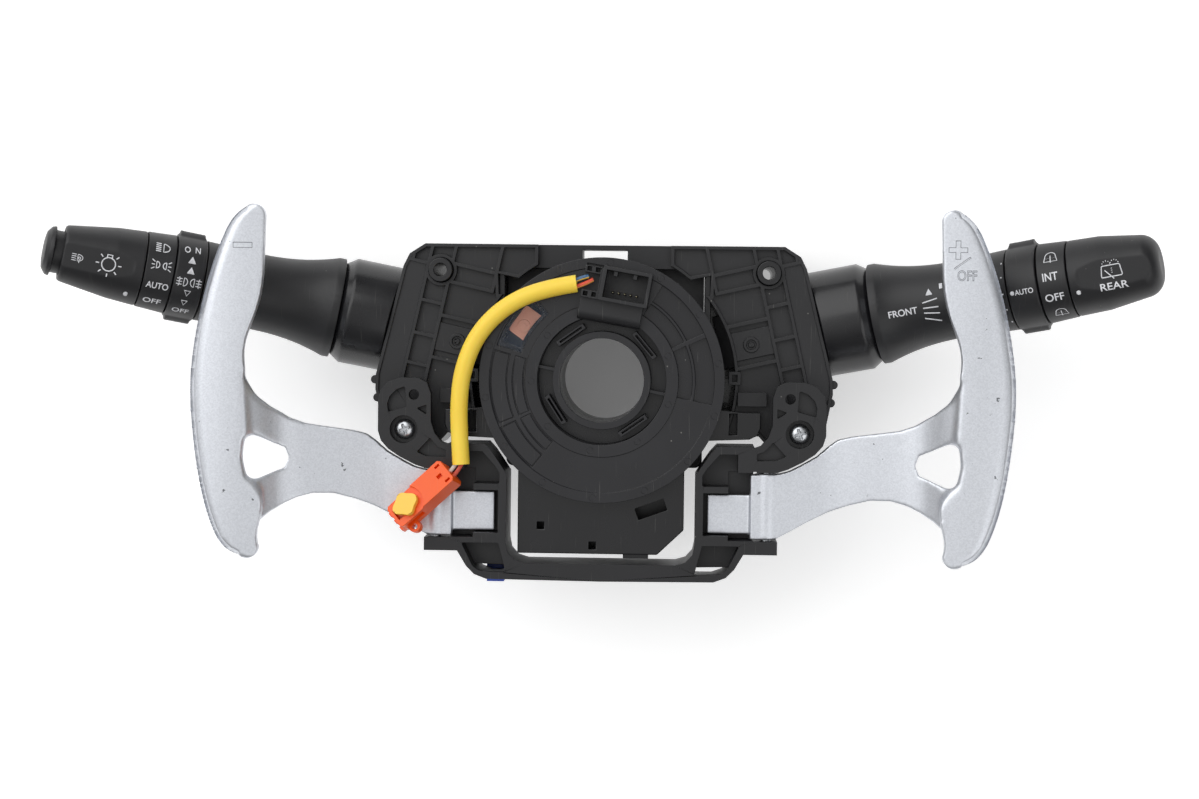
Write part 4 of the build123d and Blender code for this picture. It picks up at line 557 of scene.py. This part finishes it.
# Stalk insides
# A block on an upright pin swings up and down, and the carrier in it tilts.
# Both are black acetal. The detent plunger is plated steel.
def zinc_plate():
    """Zinc-plated steel: bright and slightly cloudy, duller in patches."""
    material, tree, place = blank("steel_zinc_plated")
    cloud = add(tree, "ShaderNodeTexNoise", (), {"Vector": place, "Scale": 1000 / 1.2, "Detail": 3.0})
    tint = add(tree, "ShaderNodeMix", {"data_type": "RGBA"}, {
        0: cloud.outputs[0], 6: srgb("#a7abb0"), 7: srgb("#d6d8db")})
    shine = add(tree, "ShaderNodeMapRange", (), {"Value": cloud.outputs[0], "To Min": 0.2, "To Max": 0.38})
    skin = add(tree, "ShaderNodeBsdfPrincipled", (), {
        "Base Color": tint.outputs[2], "Roughness": shine.outputs[0], "Metallic": 1.0})
    add(tree, "ShaderNodeOutputMaterial", (), {"Surface": skin.outputs[0]})
    return material


zinc = zinc_plate()
for side in ("left", "right"):
    rounded(side + "_swing_block", side + "_swing_moulding", inner_pom, 0.3)
    rounded(side + "_lever_core", side + "_lever_carrier", inner_pom, 0.2)
    rounded(side + "_detent_plunger", side + "_detent_pin", zinc, 0.0)


# Stalk shells, rings and knobs
# The shells are moulded in fine-grained black, softer to the eye than the
# boxes. The rings and knobs turn on the carrier's tube with a narrow seam.
grained_pc = moulded_plastic("pc_abs_fine_grain_black", "#19191c", "#131315", 0.46, 0.7, 0.035, 0.10)
for side in ("left", "right"):
    rounded(side + "_lever_neck", side + "_neck_shell", grained_pc, 0.35)
    rounded(side + "_scale_ring", side + "_marked_ring", grained_pc, 0.3)
for node, name, voxel_mm, passes in (
        ("fog_ring", "left_turning_ring", 0.3, 22), ("interval_ring", "right_turning_ring", 0.3, 22),
        ("light_knob", "light_knob_shell", 0.32, 8), ("rear_knob", "rear_knob_shell", 0.32, 8),
        ("end_button", "end_button_cap", 0.3, 6)):
    softened(node, name, grained_pc, voxel_mm, passes)


def coil_tree(material):
    """A round wire wound into a coil along Z."""
    tree, size = sized_tree("coil", ("Turns", "Coil Radius", "Length", "Wire Radius"))
    helix = add(tree, "GeometryNodeCurveSpiral", (), {
        "Resolution": 24, "Rotations": size["Turns"], "Start Radius": size["Coil Radius"],
        "End Radius": size["Coil Radius"], "Height": size["Length"]})
    wire = add(tree, "GeometryNodeCurvePrimitiveCircle", (), {"Resolution": 8, "Radius": size["Wire Radius"]})
    coil = add(tree, "GeometryNodeCurveToMesh", (), {
        "Curve": helix.outputs[0], "Profile Curve": wire.outputs[0], "Fill Caps": True})
    end_tree(tree, coil.outputs[0], material)
    return tree


coils = coil_tree(zinc)


def wound(node, name, axis, turns, wire_mm):
    """A coil that fills the room of a CAD spring and lies on its axis."""
    places = [v.co for v in frame["nodes"][node].data.vertices]
    low = min(place.dot(axis) for place in places)
    high = max(place.dot(axis) for place in places)
    middle = sum(places, Vector()) / len(places)
    start = middle + axis * (low - middle.dot(axis) + wire_mm * MM)
    reach = max((place - middle - axis * (place - middle).dot(axis)).length for place in places)
    upright = axis.to_track_quat("Z", "Y").to_matrix().to_4x4()
    coil = grown(coils, name, zinc, {
        "Turns": turns, "Coil Radius": reach - wire_mm * MM, "Length": high - low - 2 * wire_mm * MM,
        "Wire Radius": wire_mm * MM}, Matrix.Translation(start) @ upright)
    stand_for(coil, node)


# Under the button is a coil of spring wire.
SPRING_WIRE_MM = 0.4
joints = {joint["name"]: joint for joint in frame["record"]["behaviour"]["joints"]}
wound(
    "end_button_spring", "end_button_coil", Vector(joints["light_knob_turn"]["axis"]).normalized(), 4.0,
    SPRING_WIRE_MM)


# Printed marks of the stalks
# The symbols are pad-printed in white ink on the shells, rings and knobs. The
# ink lies on the curved plastic a few hundredths of a millimetre proud.
INK_MM = 0.05
KNOB_FROM_PIVOT_MM = 61.0


def stalk_axes(joint_name, tip_side):
    """Where the marks of one stalk are laid: the stalk's pivot on its outer axis, the way the marks
    read, the way up and the way out of the plastic."""
    axis = Vector(joints[joint_name]["axis"]).normalized()
    out = (Vector((0, 0, 1)) - axis * axis.z).normalized()
    reads = axis * tip_side
    start = Vector(joints[joint_name]["pos_m"]) - axis * KNOB_FROM_PIVOT_MM * MM
    return start, reads, out.cross(reads), out


def arc(x, y, radius, start_deg=0.0, end_deg=360.0, flat=1.0, steps=14):
    """Points along a circle or an ellipse."""
    turns = [math.radians(start_deg + (end_deg - start_deg) * i / steps) for i in range(steps + 1)]
    return [(x + radius * math.cos(a) * flat, y + radius * math.sin(a)) for a in turns]


def drawn(lines, width):
    """Lines of one width with round corners, as a curve in the plane."""
    curve = bpy.data.curves.new("lines", "CURVE")
    curve.dimensions = "3D"
    curve.bevel_depth = width / 2
    curve.bevel_resolution = 1
    curve.use_fill_caps = True
    for points in lines:
        spline = curve.splines.new("POLY")
        spline.points.add(len(points) - 1)
        for point, (x, y) in zip(spline.points, points):
            point.co = (x, y, 0.0, 1.0)
    return curve


def lettered(word, outline=0.0):
    """A word in the plane, as thin solid letters or as their outlines."""
    text = bpy.data.curves.new(word, "FONT")
    text.body = word
    text.size = 10.0
    text.offset = 0.12
    if outline:
        text.fill_mode = "NONE"
        text.bevel_depth = outline
        text.bevel_resolution = 0
        text.offset = 0.0
    else:
        text.extrude = INK_MM
    return text


def flat_mesh(curve):
    """The plain mesh of a text or a flat curve."""
    holder = bpy.data.objects.new("flat", curve)
    bpy.context.scene.collection.objects.link(holder)
    mesh = bpy.data.meshes.new_from_object(holder.evaluated_get(bpy.context.evaluated_depsgraph_get()))
    bpy.data.objects.remove(holder)
    return mesh


RAY_START_MM = 150.0
MARK_EDGE_MM = 0.8


def laid_on(node, name, material, slot, marks, origin, reads, up, out):
    """Lays flat marks on a CAD node: each is a curve, its place in mm, and its width and height or None.
    Their long edges are cut so that they can bend with the surface."""
    work = merged(node)
    tree = BVHTree.FromBMesh(work)
    work.free()
    sheet = bmesh.new()
    for curve, (x, y), fit in marks:
        flat = flat_mesh(curve)
        xs = [v.co.x for v in flat.vertices]
        ys = [v.co.y for v in flat.vertices]
        middle = ((min(xs) + max(xs)) / 2, (min(ys) + max(ys)) / 2) if fit else (0.0, 0.0)
        wide, high = (fit[0] / (max(xs) - min(xs)), fit[1] / (max(ys) - min(ys))) if fit else (1.0, 1.0)
        thin = INK_MM / max(v.co.z for v in flat.vertices)
        for v in flat.vertices:
            v.co = (x + (v.co.x - middle[0]) * wide, y + (v.co.y - middle[1]) * high, v.co.z * thin)
        sheet.from_mesh(flat)
    bmesh.ops.triangulate(sheet, faces=sheet.faces)
    for _ in range(2):
        long_edges = [edge for edge in sheet.edges if edge.calc_length() > MARK_EDGE_MM]
        bmesh.ops.subdivide_edges(sheet, edges=long_edges, cuts=1)
        bmesh.ops.triangulate(sheet, faces=sheet.faces)
    for v in sheet.verts:
        above = origin + (reads * v.co.x + up * v.co.y) * MM
        hit = tree.ray_cast(above + out * RAY_START_MM * MM, -out)[0]
        v.co = (hit if hit is not None else above) + out * v.co.z * MM
    bmesh.ops.recalc_face_normals(sheet, faces=sheet.faces)
    mesh = bpy.data.meshes.new(name)
    sheet.to_mesh(mesh)
    sheet.free()
    piece = put(name, mesh, material)
    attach(piece, body_of[node])


def white_ink():
    """Pad-printed ink: even and matt, a little thin in places where the black shows through."""
    material, tree, place = blank("pad_print_white_ink")
    thin = add(tree, "ShaderNodeTexNoise", (), {"Vector": place, "Scale": 1000 / 0.7, "Detail": 2.0})
    tint = add(tree, "ShaderNodeMix", {"data_type": "RGBA"}, {
        0: thin.outputs[0], 6: srgb("#c4c5ca"), 7: srgb("#eeeff2")})
    skin = add(tree, "ShaderNodeBsdfPrincipled", (), {
        "Base Color": tint.outputs[2], "Roughness": 0.55, "IOR": 1.48})
    add(tree, "ShaderNodeOutputMaterial", (), {"Surface": skin.outputs[0]})
    return material


def dot(size):
    """A round dot of this diameter."""
    return drawn([arc(0, 0, size / 4)], size / 2)


def triangle(size, filled, point_up=1.0):
    """A triangle of this width, filled by three nested lines or as an outline."""
    lines = []
    for inner in ((1.0, 0.6, 0.25) if filled else (1.0,)):
        half, high = size / 2 * inner, size * 0.43 * inner * point_up
        lines.append([(-half, -high), (half, -high), (0, high), (-half, -high), (half, -high)])
    return drawn(lines, size * (0.26 if filled else 0.17))


def beam_rows(x, length, gaps, slope=0.0):
    """Short rays side by side, from x outwards."""
    return [[(x, gap), (x + length, gap + slope * gap)] for gap in gaps]


LAMP = [arc(0, -0.3, 2.65)] + [[(-0.95, 2.2), (-0.95, 3.4), (0.95, 3.4), (0.95, 2.2)]] + [
    [(3.6 * math.cos(a), -0.3 + 3.6 * math.sin(a)), (4.9 * math.cos(a), -0.3 + 4.9 * math.sin(a))]
    for a in (math.radians(45 * i) for i in range(-5, 2))]
HEADLAMP = [[(0.3, 1.5), (0.3, -1.5)] + arc(0.3, 0, 1.5, -90, 90, 1.6)] + beam_rows(
    -0.7, -2.0, (1.45, 0.73, 0.0, -0.73, -1.45))
SIDE_LAMPS = [
    [(-1.9, 1.3), (-1.9, -1.3)] + arc(-1.9, 0, 1.3, -90, 90, 0.95),
    [(1.9, 1.3), (1.9, -1.3)] + arc(1.9, 0, 1.3, -90, 90, -0.95),
] + beam_rows(-2.6, -1.2, (1.1, 0.0, -1.1), 0.7) + beam_rows(2.6, 1.2, (1.1, 0.0, -1.1), 0.7)
FRONT_FOG = [[(0.4, 1.6), (0.4, -1.6)] + arc(0.4, 0, 1.6, -90, 90, 0.9)] + beam_rows(
    -0.3, -2.2, (1.1, 0.0, -1.1)) + [[(-1.6, 1.8), (-1.2, 0.9), (-1.6, 0.0), (-1.2, -0.9), (-1.6, -1.8)]]
REAR_FOG = [[(-x, y) for x, y in line] for line in FRONT_FOG]
LEVEL_LAMP = [[(0.0, 1.3), (0.0, -1.3)] + arc(0.0, 0, 1.3, -90, 90, 1.5)] + beam_rows(
    -0.6, -1.7, (1.2, 0.4, -0.4, -1.2)) + [arc(0.7, -0.1, 0.45), [(0.7, -0.9), (0.7, -2.0)]]
WASHER = [
    [(-2.4, -1.5), (2.4, -1.5), (1.9, 0.9)] + arc(0, 0.9, 1.9, 0, 180)[1:-1] + [(-1.9, 0.9), (-2.4, -1.5)],
    [(0, -2.1), (0, 1.4)]] + [[(x, 0.0), (x, 0.1)] for x in (-1.4, -0.7, 0.7, 1.4)]
SPRAY = [arc(side * 1.55, 3.0, 1.5, a, a + 12) for side in (-1, 1) for a in (10, 45, 80, 115, 150)]
REAR_WIPER = [
    [(-3.9, -1.7), (3.5, -1.7), (3.9, -1.3), (3.4, 2.4), (3.0, 2.7), (-3.0, 2.7), (-3.4, 2.4), (-3.9, -1.3),
     (-3.6, -1.7)],
    [(-2.4, 1.0), (0.6, -2.6)], [(0.2, 1.6), (0.2, 1.3)], [(0.2, 0.8), (0.2, 0.5)], [(0.2, 0.0), (0.2, -0.3)],
] + SPRAY

# Each mark: its curve, its distance from the stalk's pivot and from the middle
# line in mm, and its width and height where they aren't the curve's own.
ink = white_ink()
PRINTS = {
    "light_knob": [
        (drawn(LEVEL_LAMP, 0.30), (154.5, -0.3), None), (drawn(LAMP, 0.48), (142.7, -0.2), None),
        (dot(1.8), (134.0, -10.6), None)],
    "left_scale_ring": [
        (drawn(HEADLAMP, 0.38), (123.3, 10.0), None), (drawn(SIDE_LAMPS, 0.38), (123.0, 3.2), None),
        (lettered("AUTO"), (123.1, -4.9), (8.6, 2.5)), (lettered("OFF"), (123.6, -11.2), (6.9, 1.9))],
    "fog_ring": [
        (lettered("O"), (113.9, 11.3), (2.3, 2.3)), (lettered("N"), (109.8, 11.6), (2.0, 2.2)),
        (triangle(2.5, True), (111.6, 7.6), None), (triangle(2.5, True), (111.5, 3.5), None),
        (drawn(FRONT_FOG, 0.34), (113.9, -1.3), None), (drawn(REAR_FOG, 0.34), (109.1, -1.1), None),
        (triangle(2.4, False, -1.0), (111.3, -5.6), None), (triangle(2.3, False, -0.9), (111.6, -9.5), None),
        (lettered("OFF"), (112.0, -12.8), (6.6, 1.6))],
    "interval_ring": [(dot(1.7), (107.6, -1.2), None), (lettered("AUTO"), (112.2, -1.2), (7.2, 2.1))],
    "right_scale_ring": [
        (drawn(WASHER, 0.34), (123.5, 9.8), (5.4, 3.9)), (lettered("INT"), (122.8, 2.6), (5.8, 3.1)),
        (lettered("OFF"), (123.1, -5.5), (7.2, 2.9)), (drawn(WASHER, 0.34), (123.8, -11.6), (5.3, 2.8))],
    "rear_knob": [
        (dot(1.8), (132.3, -5.4), None), (drawn(REAR_WIPER, 0.42), (145.6, 0.2), None),
        (lettered("REAR"), (145.8, -5.1), (10.4, 2.8))],
    "right_lever_neck": [
        (lettered("FRONT"), (64.1, -1.0), (11.0, 2.7)), (triangle(2.3, True), (75.0, 5.2), None),
        (drawn([[(-3.0, 1.3), (3.0, 2.2)], [(-3.0, -0.8), (3.0, -1.1)], [(-3.0, -2.7), (3.1, -3.7)],
                [(-3.1, -4.8), (3.1, -6.8)]], 0.5), (75.0, 0.0), None),
        (drawn([[(-0.4, -1.0), (-0.4, 1.0)], [(0.2, -1.0), (0.2, 1.0)]], 0.7), (80.0, 6.7), None),
    ] + [(dot(0.62), place, None) for place in ((104.5, 10.9), (104.1, 5.6), (103.9, -0.9), (104.1, -7.1),
                                                (104.5, -12.1))],
}
for node, marks in PRINTS.items():
    left = node.startswith(("light", "left", "fog"))
    tip_side = -1 if left else 1
    placed = [(curve, (along * tip_side, across_mm), fit) for curve, (along, across_mm), fit in marks]
    laid_on(node, node + "_print", ink, "inner_plastic", placed,
            *stalk_axes("light_knob_turn" if left else "rear_knob_turn", tip_side))


# Paddle bracket
# A U-shaped bracket in glass-filled nylon carries both paddles. It is fixed by
# two zinc-plated pan-head screws through its ears.
bracket_nylon = moulded_plastic("nylon_glass_filled_bracket", "#1c1c1f", "#141416", 0.40, 0.8, 0.03, 0.22)
rounded("paddle_bracket", "bracket_moulding", bracket_nylon, 0.1)
rounded("bracket_screws", "pan_head_screws", zinc, 0.12)
blue_pbt = moulded_plastic("pbt_blue", "#2f55c0", "#2546a8", 0.35, 1.2, 0.01, 0.1)
rounded("paddle_plug", "blue_plug", blue_pbt, 0.2)


# Paddles
# Each paddle is die cast and painted silver, and turns on a steel pin against a
# coil. Fine flakes in the paint glint, and it is chipped in a few places.
def silver_paint():
    """Silver paint on a casting: fine metal flakes under a satin clear coat, with small chips. The
    flakes are drawn 0.5 mm wide, ten times their size, so that they show."""
    material, tree, place = blank("zinc_die_cast_silver_paint")
    flake = add(tree, "ShaderNodeTexVoronoi", (), {"Vector": place, "Scale": 1000 / 0.5})
    tone = add(tree, "ShaderNodeSeparateColor", (), {"Color": flake.outputs["Color"]})
    tint = add(tree, "ShaderNodeMix", {"data_type": "RGBA"}, {
        0: tone.outputs[0], 6: srgb("#cfd2d8"), 7: srgb("#dcdfe5")})
    cloud = add(tree, "ShaderNodeTexNoise", (), {"Vector": place, "Scale": 1000 / 3.0, "Detail": 5.0})
    chip = add(tree, "ShaderNodeMapRange", (), {
        "Value": cloud.outputs[0], "From Min": 0.715, "From Max": 0.73, "To Max": 1.0})
    colour = add(tree, "ShaderNodeMix", {"data_type": "RGBA"}, {
        0: chip.outputs[0], 6: tint.outputs[2], 7: srgb("#6f7276")})
    wave = add(tree, "ShaderNodeTexNoise", (), {"Vector": place, "Scale": 1000 / 9.0, "Detail": 2.0})
    bump = add(tree, "ShaderNodeBump", (), {
        "Strength": 0.3, "Distance": 0.05 * MM, "Height": wave.outputs[0]})
    skin = add(tree, "ShaderNodeBsdfPrincipled", (), {
        "Base Color": colour.outputs[2], "Roughness": 0.42, "Metallic": 0.85, "Coat Weight": 0.1,
        "Coat Roughness": 0.25, "Normal": bump.outputs[0]})
    add(tree, "ShaderNodeOutputMaterial", (), {"Surface": skin.outputs[0]})
    return material


paint = silver_paint()
BLADE_FROM = 100.0
BLADE_ROW_MM = 1.5
BAND_MM = 5.4
BAND_DROP_MM = 1.5
ARM_FROM, ARM_TO = 84.0, 134.0
ARM_LOW_Y, ARM_TOP_Y = -52.0, 2.0
ARM_SWELL_MM = 3.2
CREASE_FROM, CREASE_TO = 124.0, 142.0
CREASE_X = 135.0
CREASE_REACH = 8.0
CREASE_LOW_Z = 70.0
for side in ("left", "right"):
    casting = softened(side + "_paddle", side + "_paddle_casting", paint, 0.5, 5)
    # The outer edge of each blade falls away in a band 5 mm wide, the arm swells
    # before it rises, and the blade runs into it without a step.
    sign = -1 if side == "left" else 1
    reach = {}
    for v in casting.data.vertices:
        row = round(v.co.y / MM / BLADE_ROW_MM)
        reach[row] = max(reach.get(row, 0.0), v.co.x * sign)
    crease = casting.vertex_groups.new(name="crease")
    for v in casting.data.vertices:
        x, y, z = v.co.x * sign / MM, v.co.y / MM, v.co.z / MM
        row = y / BLADE_ROW_MM
        near, far = math.floor(row), math.floor(row) + 1
        edge_x = (reach.get(near, 0) * (far - row) + reach.get(far, reach.get(near, 0)) * (row - near)) / MM
        inside = edge_x - x
        # A move changes the facing of the points beside it, which is slow to work out, so it is asked last.
        if x > BLADE_FROM and inside < BAND_MM and v.normal.z > 0.1:
            v.co.z -= BAND_DROP_MM * (1 - max(inside, 0) / BAND_MM) ** 1.6 * MM
        if ARM_FROM < x < ARM_TO and y < ARM_TOP_Y:
            v.co.z += ARM_SWELL_MM * math.sin(math.pi * (x - ARM_FROM) / (ARM_TO - ARM_FROM)) ** 2 * MM
        if CREASE_FROM < x < CREASE_TO and ARM_LOW_Y < y < ARM_TOP_Y and z > CREASE_LOW_Z:
            crease.add([v.index], max(0.0, 1 - abs(x - CREASE_X) / CREASE_REACH), "REPLACE")
    blend = casting.modifiers.new("crease", "SMOOTH")
    blend.vertex_group = "crease"
    blend.factor = 0.8
    blend.iterations = 60
    eased = bpy.data.meshes.new_from_object(casting.evaluated_get(bpy.context.evaluated_depsgraph_get()))
    casting.modifiers.clear()
    casting.vertex_groups.clear()
    casting.data = eased
    rounded(side + "_hinge_pin", side + "_hinge_rod", zinc, 0.15)
    wound(side + "_return_spring", side + "_return_coil", Vector((0, 1, 0)), 6.0, SPRING_WIRE_MM)
    rounded(side + "_paddle_switch", side + "_switch_body", bracket_nylon, 0.2)
    rounded(side + "_switch_plunger", side + "_plunger", natural_pom, 0.15)

# The shift marks are cast into the blades as narrow raised outlines. They are drawn as thin grey lines on the
# paint: painted shade along the outlines.
CROSS_MM = 3.5
CROSS = [(x * CROSS_MM, y * CROSS_MM) for x, y in (
    (-0.26, 1), (0.26, 1), (0.26, 0.26), (1, 0.26), (1, -0.26), (0.26, -0.26), (0.26, -1), (-0.26, -1),
    (-0.26, -0.26), (-1, -0.26), (-1, 0.26), (-0.26, 0.26), (-0.26, 1), (0.26, 1))]
MINUS = [(-3.6, 1.0), (3.6, 1.0), (3.6, -1.0), (-3.6, -1.0), (-3.6, 1.0), (3.6, 1.0)]
SLASH = [(-3.1, -1.9), (2.8, 2.4), (3.1, 2.0), (-2.8, -2.3), (-3.1, -1.9), (2.8, 2.4)]
painted_shade_outline = moulded_plastic("painted_shade_outline_grey", "#70747b", "#62666d", 0.45, 1.2, 0.01, 0.0)
SHIFT_MARKS = {
    "left_paddle": [(drawn([MINUS], 0.3), (-138.1, 50.9), None)],
    "right_paddle": [
        (drawn([CROSS], 0.3), (135.6, 51.7), None), (drawn([SLASH], 0.22), (137.3, 46.7), None),
        (lettered("OFF", 0.2), (139.1, 42.0), (7.4, 4.1))],
}
for node, marks in SHIFT_MARKS.items():
    laid_on(node, node + "_shift_mark_painted_shade", painted_shade_outline, "paddle_metal", marks,
            Vector((0, 0, 0)), Vector((1, 0, 0)), Vector((0, 1, 0)), Vector((0, 0, 1)))


# Floor and light
# A white table under a large soft light at the upper left and a weaker one at
# the lower right, with painted shade on it round the shaft axis, under the bore. The sky is brightest
# overhead, and looks white to the camera.
FLOOR_SIZE = 6.0
PAINTED_BORE_SHADE_R = 0.024
OPEN_FLOOR_R = 0.045
floor_mesh = bpy.data.meshes.new("floor")
half = FLOOR_SIZE / 2
floor_mesh.from_pydata(
    [(-half, -half, 0), (half, -half, 0), (half, half, 0), (-half, half, 0)], [], [(0, 1, 2, 3)])
floor_white, tree, place = blank("paper_white_painted_bore_shade")
seen = add(tree, "ShaderNodeLightPath")
paper = add(tree, "ShaderNodeBsdfDiffuse", (), {"Color": srgb("#f4f4f4")})
away = add(tree, "ShaderNodeVectorMath", {"operation": "LENGTH"}, {0: place})
# The table's glow to the camera falls off within 45 mm of the shaft axis: painted shade, seen through the
# bore.
floor_glow_painted_bore_shade = add(tree, "ShaderNodeMapRange", (), {
    "Value": away.outputs["Value"], "From Min": PAINTED_BORE_SHADE_R, "From Max": OPEN_FLOOR_R,
    "To Min": 0.10, "To Max": 0.42})
glow = add(tree, "ShaderNodeEmission", (), {"Color": (1, 1, 1, 1), "Strength": floor_glow_painted_bore_shade.outputs[0]})
lit = add(tree, "ShaderNodeAddShader", (), {0: paper.outputs[0], 1: glow.outputs[0]})
mirrored = add(tree, "ShaderNodeMath", {"operation": "MAXIMUM"}, {
    0: seen.outputs["Is Glossy Ray"], 1: seen.outputs["Is Transmission Ray"]})
seen_white = add(tree, "ShaderNodeMath", {"operation": "MAXIMUM"}, {
    0: seen.outputs["Is Camera Ray"], 1: mirrored.outputs[0]})
mix = add(tree, "ShaderNodeMixShader", (), {
    0: seen_white.outputs[0], 1: paper.outputs[0], 2: lit.outputs[0]})
add(tree, "ShaderNodeOutputMaterial", (), {"Surface": mix.outputs[0]})
floor = put("floor", floor_mesh, floor_white)

world = bpy.data.worlds.new("studio")
bpy.context.scene.world = world
world.use_nodes = True
world.node_tree.nodes.clear()
toward = add(world.node_tree, "ShaderNodeTexCoord").outputs["Generated"]
height = add(world.node_tree, "ShaderNodeVectorMath", {"operation": "DOT_PRODUCT"}, {
    0: toward, 1: Vector((-0.42, 0.30, 0.86)).normalized()})
tent = add(world.node_tree, "ShaderNodeMapRange", {"interpolation_type": "SMOOTHSTEP"}, {
    "Value": height.outputs["Value"], "From Min": 0.45, "From Max": 1.0, "To Min": 0.22, "To Max": 0.95})
straight = add(world.node_tree, "ShaderNodeLightPath")
seen_sky = add(world.node_tree, "ShaderNodeMath", {"operation": "MAXIMUM"}, {
    0: straight.outputs["Is Camera Ray"], 1: straight.outputs["Is Transmission Ray"]})
strength = add(world.node_tree, "ShaderNodeMath", {"operation": "MAXIMUM"}, {
    0: seen_sky.outputs[0], 1: tent.outputs[0]})
sky = add(world.node_tree, "ShaderNodeBackground", (), {
    "Color": srgb("#ffffff"), "Strength": strength.outputs[0]})
add(world.node_tree, "ShaderNodeOutputWorld", (), {"Surface": sky.outputs[0]})

LAMPS = {
    "upper_left": ((-0.9, 1.2, 1.4), (2.7, 2.3), 25.0),
    "lower_right": ((1.1, -0.7, 1.6), (1.6, 1.4), 9.0),
}
for name, (at, size, watts) in LAMPS.items():
    lamp = bpy.data.lights.new(name, "AREA")
    lamp.shape = "RECTANGLE"
    lamp.size, lamp.size_y = size
    lamp.energy = watts
    holder = bpy.data.objects.new(name, lamp)
    holder.location = at
    holder.rotation_euler = (aim - Vector(at)).to_track_quat("-Z", "Y").to_euler()
    bpy.context.scene.collection.objects.link(holder)
